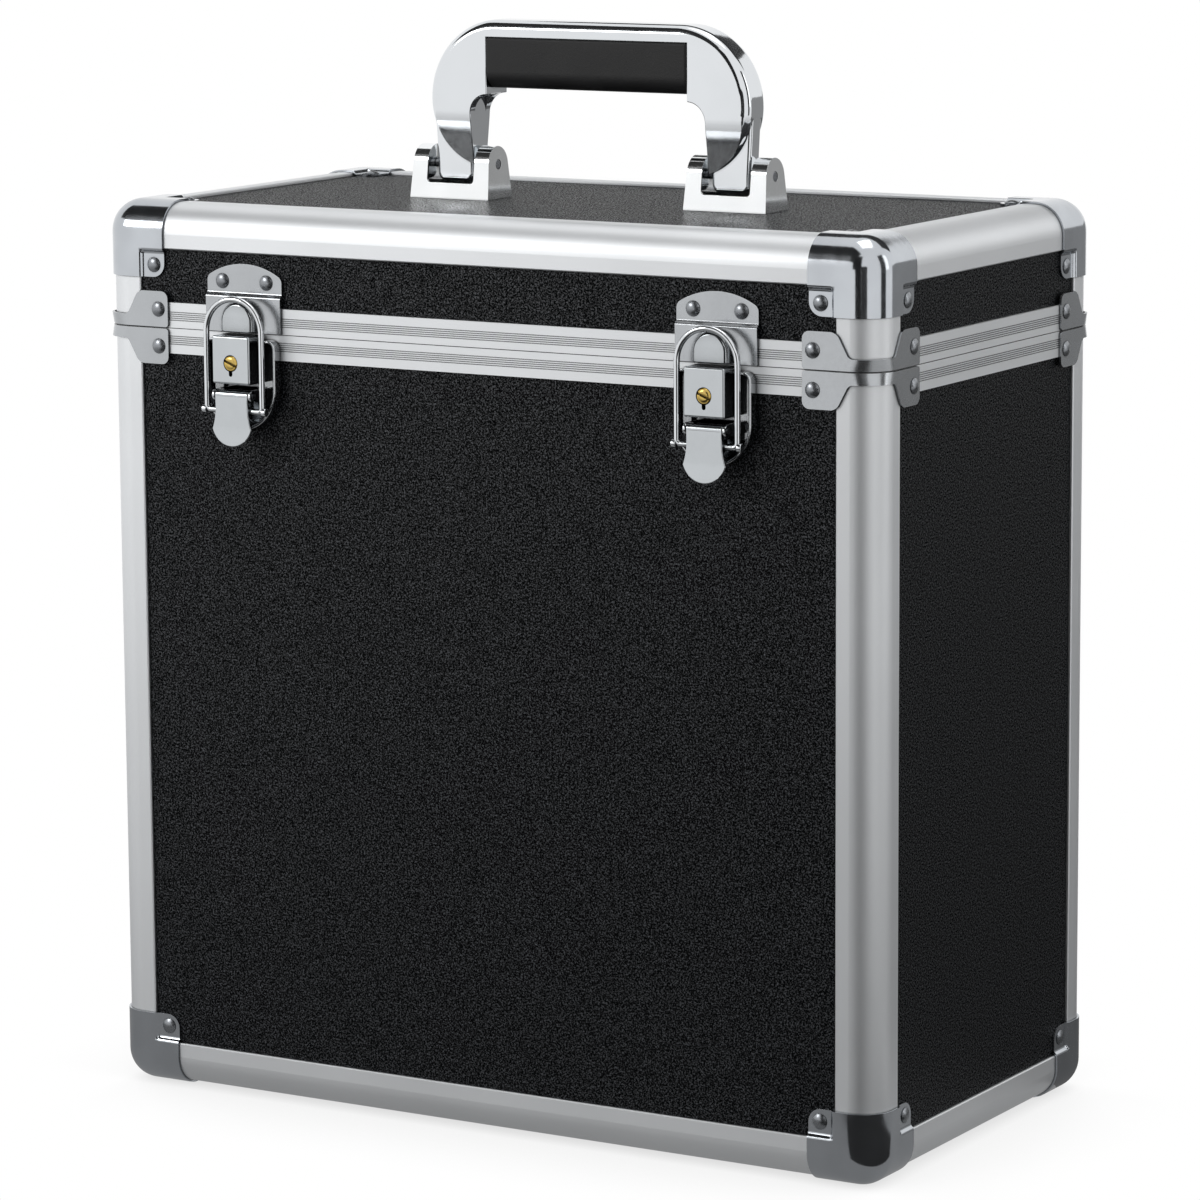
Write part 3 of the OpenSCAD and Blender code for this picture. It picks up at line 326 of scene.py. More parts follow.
def arc(x, z, radius, start, end, steps):
    """Places along an arc seen from the front, by its angles in degrees."""
    turns = [math.radians(start + (end - start) * i / steps) for i in range(steps + 1)]
    return [(x + radius * math.cos(turn), z + radius * math.sin(turn)) for turn in turns]


def facing(points, out):
    """Places seen from the front, on the plane that lies that far out."""
    return [(x, -out, z) for x, z in points]


def sideways(points, x):
    """Places seen from the side, by their distance out and their height."""
    return [(x, -out, z) for out, z in points]


def circle_through(width, rise):
    """Radius of the arc that spans a width with a rise."""
    return ((width / 2) ** 2 + rise ** 2) / (2 * rise)


def chord_lean(width, radius):
    """Half the angle under which an arc's centre sees its width, in degrees."""
    return math.degrees(math.asin(min(1, width / 2 / radius)))


def in_mm(group):
    """The sizes of a property group in millimetres."""
    return SimpleNamespace(**{key: getattr(group, key) / MM for key in group.__annotations__})


# ---------- Placing ----------


def shift(x, y, z):
    return Matrix.Translation((x, y, z))


def lean(degrees, axis):
    return Matrix.Rotation(math.radians(degrees), 4, axis)


def case_corners(level, sense):
    """Matrices that carry a fitting from a corner at the origin to the four vertical edges."""
    return [shift(across * LEFT, along * FRONT, level) @ Matrix.Diagonal((across, along, sense, 1))
            for across in (1, -1) for along in (1, -1)]


AT_THE_ENDS = {"base": case_corners(BOTTOM, 1), "lid": case_corners(TOP, -1)}
AT_THE_SEAM = {"base": case_corners(SEAM, -1), "lid": case_corners(SEAM, 1)}


def spread(piece, matrices, name):
    """Copies of a piece at several places, as one object."""
    copies = [twin(piece, matrix) for matrix in matrices]
    bpy.data.objects.remove(piece)
    return join(copies, name)


def dress(piece, body, finish, slot, *nodes, angle=35):
    """Brings a piece to metres, smooths it, sets its body and finish, hides its CAD nodes; slot
    unused.
    """
    choose(piece)
    piece.data.transform(Matrix.Scale(MM, 4))
    bpy.ops.object.shade_smooth_by_angle(angle=math.radians(angle))
    refine(piece, "WEIGHTED_NORMAL", keep_sharp=True)
    piece.data.materials.clear()
    piece.data.materials.append(FINISHES[finish])
    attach(piece, body)
    if nodes:
        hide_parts(*nodes)


def fit(piece, places, name, finish, slot, node=None, angle=35):
    """Copies a fitting to its places on base and lid, as one piece for each of them."""
    for body, matrices in places.items():
        copies = spread(twin(piece, Matrix()), matrices, f"{body}_{name}")
        dress(copies, body, finish, slot, *([f"{body}_{node}"] if node else []), angle=angle)
    bpy.data.objects.remove(piece)


# ---------- Finishes ----------


def linear(hex_colour):
    """An sRGB hex colour as linear values."""
    parts = [int(hex_colour[i:i + 2], 16) / 255 for i in (1, 3, 5)]
    return [p / 12.92 if p <= 0.04045 else ((p + 0.055) / 1.055) ** 2.4 for p in parts]


def add(tree, kind, inputs, **settings):
    """Adds a node with its settings, and sets or links its inputs by name or number."""
    node = tree.nodes.new(kind)
    for key, value in settings.items():
        setattr(node, key, value)
    for key, value in inputs.items():
        if isinstance(value, bpy.types.NodeSocket):
            tree.links.new(value, node.inputs[key])
        else:
            node.inputs[key].default_value = value
    return node


def new_material(name):
    """An empty node material, its tree and its Object coordinates."""
    material = bpy.data.materials.new(name)
    material.use_nodes = True
    tree = material.node_tree
    tree.nodes.clear()
    return material, tree, add(tree, "ShaderNodeTexCoord", {}).outputs["Object"]


def close_material(tree, shader):
    add(tree, "ShaderNodeOutputMaterial", {"Surface": shader.outputs[0]})


def steps_of(tree, factor, stops):
    """A colour ramp on a factor."""
    ramp = add(tree, "ShaderNodeValToRGB", {"Fac": factor})
    while len(ramp.color_ramp.elements) < len(stops):
        ramp.color_ramp.elements.new(0.5)
    for element, (place, colour) in zip(ramp.color_ramp.elements, stops):
        element.position = place
        element.color = (*colour, 1)
    return ramp.outputs["Color"]


def grey(value):
    return (value, value, value)


def per_mm(size):
    """Texture scale at which one cell of a pattern is this many millimetres."""
    return 1 / (size * MM)


def noise(tree, place, size, detail, roughness=0.5):
    """A noise with grains of a size in millimetres."""
    return add(tree, "ShaderNodeTexNoise",
               {"Vector": place, "Scale": per_mm(size), "Detail": detail,
                "Roughness": roughness}).outputs["Fac"]


def carry(tree, value, start, end, low, high):
    """Carries a value from the range start to end over to the range low to high."""
    return add(tree, "ShaderNodeMapRange",
               {"Value": value, "From Min": start, "From Max": end, "To Min": low,
                "To Max": high}).outputs[0]


def bumps(tree, height, strength, depth):
    """Bumps of a depth in millimetres."""
    return add(tree, "ShaderNodeBump",
               {"Height": height, "Strength": strength, "Distance": depth * MM}).outputs[0]


def coat(material, tree, looks):
    """Closes a material with the surface that its looks describe."""
    close_material(tree, add(tree, "ShaderNodeBsdfPrincipled", looks))
    return material


def times(colour, factor):
    return [min(1.0, part * factor) for part in colour]


def laminate(colours):
    """Melamine laminate pressed against a pebbled plate: fine grains, each with its own gloss."""
    material, tree, place = new_material("melamine laminate, pebbled")
    # Grains of 0.7 mm: the real ones are nearer 0.5 mm, too fine to show.
    grain = noise(tree, place, 0.7, 3.0, 0.8)
    patch = noise(tree, place, 3.0, 3.0, 0.7)
    # The lighter specks are painted glints: the grains' tops as the lamps light them.
    tone = steps_of(tree, carry(tree, grain, 0.52, 0.72, 0.0, 1.0),
                    [(0.0, colours.laminate), (1.0, colours.speck)])
    # The flattened tops of the grains are glossy, the valleys between them matt.
    return coat(material, tree, {
        "Base Color": tone, "Roughness": carry(tree, patch, 0.0, 1.0, 0.34, 0.5),
        "Specular IOR Level": carry(tree, grain, 0.47, 0.62, 0.0, 0.66),
        "Normal": bumps(tree, grain, 0.5, 0.2)})


def metal(name, colour, rough, spread, grain, depth, cloud=0.06, cloud_size=22.0, reach=8.0,
          deepest=0.05):
    """A metal: its colour drifts in clouds, its grain breaks the gloss, painted shade darkens
    gaps.

    Sizes are in millimetres. Painted shade darkens gaps within the reach, to its darkest share.
    """
    material, tree, place = new_material(name)
    grain = noise(tree, place, grain, 3.0, 0.65)
    tone = steps_of(tree, noise(tree, place, cloud_size, 2.0),
                    [(0.35, times(colour, 1 - cloud)), (0.65, times(colour, 1 + cloud))])
    # Painted shade: ambient occlusion darkens the colour in grooves and narrow gaps.
    painted_shade_ao = add(tree, "ShaderNodeAmbientOcclusion", {"Distance": reach * MM}, samples=6)
    shade = carry(tree, painted_shade_ao.outputs["AO"], 0.35, 0.9, deepest, 1.0)
    tone = add(tree, "ShaderNodeVectorMath", {0: tone, "Scale": shade}, operation="SCALE")
    return coat(material, tree, {
        "Base Color": tone.outputs[0], "Metallic": 1.0, "Normal": bumps(tree, grain, 1.0, depth),
        "Roughness": carry(tree, grain, 0.3, 0.7, max(0.02, rough - spread), rough + spread)})


def foam(colours):
    """Closed-cell polyethylene foam, sliced: matt, with open cells of about 1 mm."""
    material, tree, place = new_material("polyethylene foam, sliced")
    cells = add(tree, "ShaderNodeTexVoronoi", {"Vector": place, "Scale": per_mm(1.2)},
                feature="F1").outputs["Distance"]
    # The colour darkens towards each cell's middle: painted shade in the open cells' pits.
    tone = steps_of(tree, cells, [(0.1, times(colours.foam, 0.6)), (0.6, colours.foam)])
    return coat(material, tree, {"Base Color": tone, "Roughness": 0.94,
                                 "Specular IOR Level": 0.2,
                                 "Normal": bumps(tree, cells, 0.6, 0.3)})


def soft_rubber(colours):
    """Thermoplastic rubber from a spark-eroded mould: a matt black with a fine sandy grain."""
    material, tree, place = new_material("thermoplastic rubber, moulded")
    sand = noise(tree, place, 0.55, 4.0, 0.7)
    wear = noise(tree, place, 14.0, 2.0)
    tone = steps_of(tree, wear, [(0.3, colours.grip), (0.75, times(colours.grip, 1.7))])
    return coat(material, tree, {
        "Base Color": tone, "Roughness": carry(tree, wear, 0.0, 1.0, 0.5, 0.66),
        "Specular IOR Level": 0.45, "Normal": bumps(tree, sand, 0.5, 0.2)})


FINISHES = {}


def make_finishes(colours):
    """Fills FINISHES, by the record's material slots and for the fittings' own looks."""
    FINISHES["laminate"] = laminate(colours)
    # Each metal paints shade into its gaps and grooves, within its reach and to its darkest share.
    # Bead-blasted and anodised: a silky surface without direction
    FINISHES["aluminium"] = metal(
        "anodised aluminium, satin", colours.aluminium, rough=0.5, spread=0.04, grain=0.5,
        depth=0.003, cloud=0.02, cloud_size=60, reach=0.8, deepest=0.1)
    # Bright nickel over pressed steel, slightly uneven from the press
    FINISHES["nickel"] = metal(
        "nickel-plated steel, pressed", colours.nickel, rough=0.13, spread=0.03, grain=5.0,
        depth=0.012, reach=1.0)
    # Rolled sheet, flat and with a soft gloss under its plating
    FINISHES["plate"] = metal(
        "nickel-plated steel, rolled", colours.plate, rough=0.24, spread=0.03, grain=1.5,
        depth=0.002, cloud=0.04, reach=2.0)
    # Drawn and bent before chroming: bright, with a slight waviness
    FINISHES["pressed_chrome"] = metal(
        "chromed steel, pressed", colours.pressed, rough=0.12, spread=0.03, grain=4.0,
        depth=0.008, cloud=0.03)
    # Polished before plating, so nearly a mirror, with a faint waviness
    polished = {"spread": 0.02, "grain": 9.0, "depth": 0.01, "cloud": 0.02}
    FINISHES["chrome"] = metal("chromed zinc, polished", colours.chrome, rough=0.06, **polished)
    # The same plating on the thicker casting of the bow, which has no deep gaps: fainter painted
    # shade
    faint_painted_shade = {"reach": 1.2, "deepest": 0.4}
    FINISHES["cast_chrome"] = metal("chromed zinc, cast and polished", colours.chrome,
                                    rough=0.07, **polished, **faint_painted_shade)
    # A lighter copy of the chrome: painted highlight whitens the brackets; their gloss is softer.
    FINISHES["bracket_chrome"] = metal("chromed zinc, cast and tumbled", colours.bracket,
                                       rough=0.1, **polished, **faint_painted_shade)
    # Plated in a barrel: grey, with a soft gloss and small knocks
    FINISHES["rivet_steel"] = metal(
        "zinc-plated steel, tumbled", colours.rivet, rough=0.28, spread=0.04, grain=0.8,
        depth=0.003, reach=1.0)
    # Turned bar with fine tool marks, left bare: yellow, with a satin gloss
    FINISHES["brass"] = metal(
        "brass, turned", colours.brass, rough=0.2, spread=0.05, grain=0.4, depth=0.002,
        reach=1.5)
    FINISHES["foam"] = foam(colours)
    FINISHES["grip"] = soft_rubber(colours)


# ---------- Sizes and colours ----------


def length(description, millimetres):
    return FloatProperty(description=description, default=millimetres * MM, unit="LENGTH",
                         min=0.0, precision=4)


def colour(description, hex_colour):
    return FloatVectorProperty(description=description, default=linear(hex_colour),
                               subtype="COLOR", min=0.0, max=1.0)


def named(group):
    """Gives each property of a group the name that its key spells."""
    for key, value in group.__annotations__.items():
        value.keywords["name"] = key.replace("_", " ").capitalize()
    return group


@named
class CornerSizes(bpy.types.PropertyGroup):
    reach: length("Length of a ball corner along each edge of the case", 29.3)
    proud: length("How far corners and seam brackets stand proud of the edging", 1.0)
    sheet: length("Thickness of the pressed sheet", 0.9)
    radius: length("Outer radius of a ball corner's edges", 13.0)
    tab_depth: length("How far a tab lies below the corner's face", 1.4)
    tab_slope_start: length("Where the slope down to a tab starts", 18.2)
    tab_start: length("Where a tab's flat starts", 19.4)
    tab_radius: length("Radius of a tab's free corner", 5.5)
    bracket_reach: length("Length of a seam bracket from the corner", 31.5)
    bracket_height: length("Height of a seam bracket's tab", 14.6)
    band_height: length("Height of the band round the post", 4.8)
    bracket_slope: length("Where the band starts to rise to the tab", 11.9)
    bracket_tab: length("Where the tab of a seam bracket starts", 17.2)
    bracket_radius: length("Radius of a tab's corners", 3.0)
    slot_start: length("Where a post's panel slot starts", 9.0)
    slot_end: length("Where a post's panel slot ends", 17.8)
    slot_skin: length("Thickness of the post outside its panel slot", 1.3)
    slot_width: length("Width of a post's panel slot", 4.2)
    rivet_radius: length("Radius of a rivet's head", 3.0)
    rivet_height: length("Height of a rivet's head", 1.2)
    rivet_in: length("Distance of a seam bracket's rivet from its end", 4.5)
    rivet_up: length("Height of a seam bracket's rivet over the seam", 7.4)
    hinge_rivet_x: length("Distance of a hinge's rivets from its middle", 17.0)
    hinge_rivet_up: length("Distance of a hinge's rivets from the seam", 6.3)
    hinge_leaf: length("How far a hinge's leaf stands out", 1.3)


@named
class LatchSizes(bpy.types.PropertyGroup):
    sheet: length("Thickness of the sheet that the latches are pressed from", 1.2)
    plate_width: length("Width of the base plate", 33.4)
    plate_drop: length("From the seam down to the base plate's bottom", 38.4)
    plate_top: length("From the seam down to the base plate's top", 2.1)
    plate_edge: length("Height of the raised edge round the base plate", 3.0)
    box_width: length("Width of the lock box", 17.6)
    box_drop: length("From the seam down to the lock box's bottom", 19.4)
    box_out: length("How far the lock box stands out", 10.5)
    plug_radius: length("Radius of the lock's plug", 3.25)
    plug_drop: length("From the seam down to the plug's middle", 11.1)
    catch_width: length("Width of the catch plate", 35.2)
    catch_height: length("Height of the catch plate", 27.3)
    catch_shoulder: length("Height of the catch plate's shoulders", 22.0)
    catch_fold: length("Height of the fold in the catch plate", 15.6)
    catch_step: length("How far the plate steps back at the fold", 1.4)
    catch_rivet_x: length("Distance of the rivets from the middle", 10.4)
    catch_rivet_z: length("Height of the rivets", 20.2)
    dome_width: length("Width of the catch's dome", 15.5)
    dome_height: length("Height of the dome over the seam", 12.9)
    dome_out: length("How far the dome stands out", 6.4)
    wire_radius: length("Radius of the bail's wire", 1.2)
    bail_half: length("Half the distance between the bail's legs", 13.0)
    bail_top: length("Height of the wire's middle over the seam", 14.1)
    bail_out: length("Distance of the wire's middle from the case", 7.9)
    bail_drop: length("From the seam down to the bail's pivot", 30.0)
    lever_out: length("Distance of the lever's pivot from the case", 8.2)
    lever_drop: length("From the seam down to the lever's pivot", 24.0)
    lever_width: length("Width of the lever at its pivot", 15.3)
    barrel_radius: length("Radius of the lever's rolled barrel", 2.3)
    tongue_width: length("Greatest width of the tongue", 18.5)
    tongue_straight: length("From the pivot down to the flare", 4.0)
    tongue_wide: length("From the pivot down to the widest place", 13.4)
    tongue_drop: length("From the pivot down to the tongue's tip", 20.2)


@named
class HandleSizes(bpy.types.PropertyGroup):
    width: length("Outside width of the bow", 147.0)
    inside: length("Width between the legs", 108.0)
    depth: length("Depth of the bow, front to back", 16.0)
    tip_depth: length("Depth of the bow at the tips of its ends", 9.2)
    corner: length("Outer radius of the bow's top corners", 32.0)
    end_radius: length("Radius of the bow ends' lower border", 27.5)
    strip: length("Height of the strip over the grip", 7.0)
    edge: length("Radius along the bow's outer edges", 4.0)
    shoulder: length("From the top down to the shoulders", 30.0)
    foot_width: length("Width of a leg's foot", 17.0)
    foot_depth: length("Thickness of a leg's foot", 8.4)
    foot_drop: length("Reach of a foot below the pivot", 7.0)
    grip_length: length("Length of the grip", 92.0)
    grip_height: length("Height of the grip", 20.3)
    grip_depth: length("Depth of the grip", 17.0)
    grip_radius: length("Radius of the grip's lower edges", 7.0)
    bracket_length: length("Length of a bracket at its foot", 37.0)
    bracket_top: length("Length of a bracket at its top", 35.0)
    bracket_depth: length("Depth of a bracket at its foot", 18.6)
    bracket_gap: length("Gap between the ears", 22.0)
    ear_radius: length("Radius of the ears' round tops", 7.4)
    wall_height: length("Height of the low walls over the case", 5.0)
    wall: length("Thickness of the low walls", 1.8)
    pin_radius: length("Radius of the handle's pins", 2.0)


@named
class Finishes(bpy.types.PropertyGroup):
    laminate: colour("Black of the panels", "#08090a")
    # The specks' colour is a painted glint on the laminate's grains.
    speck: colour("Lighter grains of the laminate", "#53575e")
    aluminium: colour("Edging and rims", "#e6e8ea")
    nickel: colour("Ball corners", "#bec2c7")
    plate: colour("Seam brackets and catch plates", "#b5b8bb")
    pressed: colour("Lock boxes, domes and levers", "#bfc3c6")
    chrome: colour("Handle, bails and latch bases", "#dde0e3")
    # The brackets' colour is lighter than the chrome: a painted highlight.
    bracket: colour("Handle brackets", "#f2f4f5")
    rivet: colour("Rivets, pins and screws", "#8f9296")
    brass: colour("Lock plugs", "#c8ab62")
    foam: colour("Lining", "#1d1d1f")
    grip: colour("Soft grip", "#121213")


# ---------- Corners ----------


def ball_corner(size):
    """A pressed ball corner for a case corner at the origin, with its arms along +X, +Y, +Z."""
    # The rounding swells past its faces by a trace, which the start leaves room for
    near, far = 0.02 - size.proud, size.reach
    piece = block("ball corner", (near, near, near), (far, far, far))
    edit(piece)
    open_up(lambda face: max(face.normal) > 0.5)
    round_edges(lambda edge: sum(abs(c - near) < HAIR for c in middle(edge)) == 2,
                size.radius, 14)
    for axis in range(3):
        normal = [float(axis == i) for i in range(3)]
        for place in (size.tab_slope_start, size.tab_start):
            slice_at([place * n for n in normal], normal)
    for axis in range(3):
        def on_tab(vertex):
            across = [vertex.co[i] for i in range(3) if i != axis]
            return vertex.co[axis] < near + HAIR and min(across) > size.tab_start - HAIR
        pick("VERT", on_tab)
        move(*(size.tab_depth * (axis == i) for i in range(3)))
    round_corners(lambda vertex: sum(abs(c - far) < HAIR for c in vertex.co) == 2,
                  size.tab_radius, 8)
    round_edges(folded(20), 0.7, 4)
    leave_edit()
    thicken(piece, size.sheet)
    soften(piece, 0.22)
    return piece


def bracket_wing(size):
    """The front wing of a seam bracket above a seam at z = 0, its corner at the origin."""
    low, near = SEAM_GAP, -size.proud
    piece = trace("seam bracket", facing([
        (near, low), (near, size.band_height), (size.bracket_slope, size.band_height),
        (size.bracket_tab, size.bracket_height), (size.bracket_reach, size.bracket_height),
        (size.bracket_reach, low)], size.proud))
    for x, z, radius, steps in (
            (size.bracket_reach, size.bracket_height, size.bracket_radius, 6),
            (size.bracket_tab, size.bracket_height, size.bracket_radius * 0.8, 6),
            (size.bracket_slope, size.band_height, 1.6, 5), (size.bracket_reach, low, 1.2, 4)):
        round_corners(lambda v: abs(v.co.x - x) < HAIR and abs(v.co.z - z) < HAIR, radius, steps)
    face_outwards()
    leave_edit()
    return piece


def seam_bracket(size):
    """A seam bracket: both wings, wrapped round the post."""
    front = bracket_wing(size)
    swap = Matrix(((0, 1, 0, 0), (1, 0, 0, 0), (0, 0, 1, 0), (0, 0, 0, 1)))
    piece = join([front, twin(front, swap)], "seam bracket")
    edit(piece)
    weld()
    flip(lambda face: face.normal.x + face.normal.y > 0)
    round_edges(lambda edge: max(middle(edge).x, middle(edge).y) < -size.proud + HAIR,
                size.radius - HAIR, 12)
    leave_edit()
    thicken(piece, size.sheet)
    soften(piece, 0.25)
    return piece


def slot_plugs(size):
    """The two plugs that close a post's panel slots at the seam."""
    gap, low, high = 0.05, 0.35, 2.9
    across = (size.slot_skin + gap, size.slot_skin + size.slot_width - gap)
    along = (size.slot_start + gap, size.slot_end - gap)
    first = block("plug along x", (along[0], across[0], low), (along[1], across[1], high))
    second = block("plug along y", (across[0], along[0], low), (across[1], along[1], high))
    piece = join([first, second], "slot plugs")
    soften(piece, 0.2)
    return piece


def rivet_head(radius, height):
    """A rivet's head on z = 0, pointing up: a dome over a short straight rim."""
    rim, sunk = 0.25, 0.1
    ball = circle_through(2 * radius, height - rim)
    turn = chord_lean(2 * radius, ball)
    dome = [(x, 0, z) for x, z in arc(0, height - ball, ball, 90, 90 - turn, 9)]
    dome[0] = (0, 0, height)
    return revolve("rivet", dome + [(radius, 0, -sunk), (0, 0, -sunk)], (0, 0, 1), 28)


def corner_rivets(size):
    """Places of the three rivets of a ball corner at the origin."""
    place = (size.tab_start + size.reach) / 2
    turn = Matrix(((0, 0, 1, 0), (1, 0, 0, 0), (0, 1, 0, 0), (0, 0, 0, 1)))
    first = shift(place, place, size.tab_depth - size.proud) @ lean(180, "X")
    return [first, turn @ first, turn @ turn @ first]


def bracket_rivets(size):
    """Places of the two rivets of a seam bracket whose corner is at the origin."""
    along = size.bracket_reach - size.rivet_in
    return [shift(along, -size.proud, size.rivet_up) @ lean(90, "X"),
            shift(-size.proud, along, size.rivet_up) @ lean(-90, "Y")]


def hinge_rivets(size, body):
    """Places of the rivets on the back leaves, whose middles the CAD gives."""
    level = SEAM + (size.hinge_rivet_up if body == "lid" else -size.hinge_rivet_up)
    return [shift(centre(f"{side}_hinge_{body}_leaf").x + step, size.hinge_leaf - FRONT, level)
            @ lean(-90, "X")
            for side in ("left", "right") for step in (-size.hinge_rivet_x, size.hinge_rivet_x)]


def catch_rivets(size):
    """Places of the rivets on the two catch plates."""
    face = SEAT_GAP - size.catch_step + size.sheet
    return [shift(latch + side * size.catch_rivet_x, FRONT - face, SEAM + size.catch_rivet_z)
            @ lean(90, "X") for latch in (-LATCH_X, LATCH_X) for side in (-1, 1)]


class CASE_OT_ball_corners(bpy.types.Operator):
    """Press the eight ball corners"""
    bl_idname = "case.ball_corners"
    bl_label = "Ball corners"

    def execute(self, context):
        fit(ball_corner(in_mm(context.scene.case_corners)), AT_THE_ENDS, "ball_corners",
            "nickel", "nickel", "corner_caps", angle=50)
        return {"FINISHED"}


class CASE_OT_seam_brackets(bpy.types.Operator):
    """Press the eight brackets that wrap round the posts at the seam"""
    bl_idname = "case.seam_brackets"
    bl_label = "Seam brackets"

    def execute(self, context):
        fit(seam_bracket(in_mm(context.scene.case_corners)), AT_THE_SEAM, "brackets",
            "plate", "nickel", "seam_brackets", angle=50)
        return {"FINISHED"}


class CASE_OT_slot_plugs(bpy.types.Operator):
    """Close the panel slots of the posts, which end open at the seam"""
    bl_idname = "case.slot_plugs"
    bl_label = "Slot plugs"

    def execute(self, context):
        fit(slot_plugs(in_mm(context.scene.case_corners)), AT_THE_SEAM, "slot_plugs",
            "aluminium", "aluminium")
        return {"FINISHED"}


class CASE_OT_rivets(bpy.types.Operator):
    """Set the rivets of corners, brackets, hinges and catches"""
    bl_idname = "case.rivets"
    bl_label = "Rivets"

    def execute(self, context):
        size = in_mm(context.scene.case_corners)
        places = {}
        for body in ("base", "lid"):
            places[body] = [corner @ place for corner in AT_THE_ENDS[body]
                            for place in corner_rivets(size)]
            places[body] += [corner @ place for corner in AT_THE_SEAM[body]
                             for place in bracket_rivets(size)]
        places["lid"] += catch_rivets(in_mm(context.scene.case_latch))
        for body in places:
            places[body] += hinge_rivets(size, body)
        fit(rivet_head(size.rivet_radius, size.rivet_height), places, "rivet_heads",
            "rivet_steel", "rivet_steel", "rivets")
        return {"FINISHED"}


# ---------- Latches: x from the latch's middle, out from the case, z from the seam ----------


def latch_places():
    """The sides of the two latches, with the matrices that carry a latch there."""
    return [("left", shift(-LATCH_X, FRONT, SEAM)), ("right", shift(LATCH_X, FRONT, SEAM))]


def catch_plate(size):
    """The catch plate, stepped back over the rim, with its round top."""
    half = size.catch_width / 2
    radius = circle_through(size.catch_width, size.catch_height - size.catch_shoulder)
    turn = chord_lean(size.catch_width, radius)
    top = arc(0, size.catch_height - radius, radius, 90 - turn, 90 + turn, 20)
    piece = trace("catch", facing([(half, SEAM_GAP)] + top + [(-half, SEAM_GAP)],
                                  SEAT_GAP + size.sheet))
    round_corners(lambda v: abs(v.co.z - size.catch_shoulder) < 0.1, 1.6, 4)
    face_outwards()
    flip(lambda face: face.normal.y > 0)
    for level in (size.catch_fold - size.sheet, size.catch_fold):
        slice_at((0, 0, level), (0, 0, 1))
    pick("VERT", lambda v: v.co.z > size.catch_fold - HAIR)
    move(y=size.catch_step)
    round_edges(folded(20), 0.45, 3)
    leave_edit()
    thicken(piece, size.sheet)
    soften(piece, 0.3, 3)
    return piece


def catch_dome(size):
    """The dome that the bail draws on: a round-topped boss with soft edges."""
    half, foot = size.dome_width / 2, 0.7
    points = [(half, foot)] + arc(0, size.dome_height - half, half, 0, 180, 28) + [(-half, foot)]
    piece = solid("dome", facing(points, size.sheet), y=size.sheet - size.dome_out)
    edit(piece)
    round_edges(lambda e: middle(e).y < -size.dome_out + HAIR and middle(e).z > foot + 0.1,
                1.9, 7)
    round_edges(lambda e: middle(e).y < -size.dome_out + 2.5 and middle(e).z < foot + HAIR,
                0.6, 3)
    leave_edit()
    return piece


def base_plate(size):
    """The latch's base: a round-ended pan with a raised edge, and the pad behind it."""
    half = size.plate_width / 2
    round_z = half - size.plate_drop
    piece = trace("latch base", facing(
        arc(0, round_z, half, 180, 360, 40) + [(half, -size.plate_top), (-half, -size.plate_top)],
        SEAT_GAP))
    round_corners(lambda v: v.co.z > -size.plate_top - HAIR, 3.5, 6)
    bpy.ops.mesh.select_all(action="SELECT")
    pull(y=-(size.sheet + size.plate_edge))
    bpy.ops.mesh.inset(thickness=size.sheet, depth=0)
    pull(y=size.plate_edge)
    face_outwards()
    front = -(SEAT_GAP + size.sheet + size.plate_edge)
    round_edges(lambda e: middle(e).y < front + HAIR and run(e).y < 0.1, 0.5, 4)
    leave_edit()
    reach = half * 2 / 3
    pad = block("pad", (-reach, -0.2, round_z - reach), (reach, 1.3, -10.5))
    soften(pad, 0.3)
    return join([piece, pad], "latch base")


def lock_box(size):
    """The pressed lock box, hollow, with its key opening."""
    half = size.box_width / 2
    piece = block("lock box", (-half, -size.box_out, -size.box_drop), (half, -0.8, -SEAM_GAP))
    edit(piece)
    open_up(lambda face: face.normal.y > 0.5)
    round_edges(folded(20), 0.9, 5)
    leave_edit()
    thicken(piece, size.sheet)
    radius, slot_half, slot_reach = size.plug_radius + 0.1, 0.85, 2.0
    turn = chord_lean(2 * slot_half, radius)
    slot_end = slot_half - size.plug_drop - size.plug_radius - slot_reach
    opening = solid("key opening", facing(
        arc(0, -size.plug_drop, radius, turn - 90, 270 - turn, 36)
        + arc(0, slot_end, slot_half, 180, 360, 10), size.box_out + 2), y=4)
    cut_out(piece, opening)
    return piece


def lever_ears(size):
    """The two ears of the base that hold the lever's pin."""
    radius = size.barrel_radius + 0.1
    points = arc(size.lever_out, -size.lever_drop, radius, -90, 90, 16)
    points += [(size.sheet, radius - size.lever_drop), (size.sheet, -radius - size.lever_drop)]
    ear = solid("lever ear", sideways(points, size.lever_width / 2 + 0.3), x=size.sheet)
    soften(ear, 0.25)
    return with_mirror(ear, "lever ears")


def flare(size, drop):
    """Half width of the tongue at a distance below the lever's pivot."""
    share = (drop - size.tongue_straight) / (size.tongue_wide - size.tongue_straight)
    share = min(1.0, max(0.0, share))
    return (size.lever_width + (size.tongue_width - size.lever_width) * share ** 2.2) / 2


def tongue(size):
    """The lever's tongue: sides that flare out, a round end and a lip that curls outwards."""
    radius = circle_through(size.tongue_width, size.tongue_drop - size.tongue_wide)
    turn = chord_lean(size.tongue_width, radius)
    tip = arc(0, radius - size.tongue_drop, radius, turn - 90, -90 - turn, 24)
    flared = size.tongue_wide - size.tongue_straight
    drops = [0.0, size.tongue_straight]
    drops += [size.tongue_straight + flared * i / 8 for i in range(1, 8)]
    right = [(flare(size, drop), -drop) for drop in drops]
    left = [(-x, z) for x, z in reversed(right)]
    piece = solid("tongue", facing([(x, z - size.lever_drop) for x, z in right + tip + left],
                                   size.box_out), y=size.sheet)
    soften(piece, 0.4, 3)
    edit(piece)
    # The lip curls in seven steps, each leaning out by as much more as the one before
    levels = [size.lever_drop + size.tongue_wide - 1 + step for step in range(7)]
    for level in levels:
        slice_at((0, 0, -level), (0, 0, 1))
    for step, level in enumerate(levels):
        pick("VERT", lambda v: v.co.z < -level - HAIR)
        move(y=-0.0137 * (step + 1))
    leave_edit()
    return piece


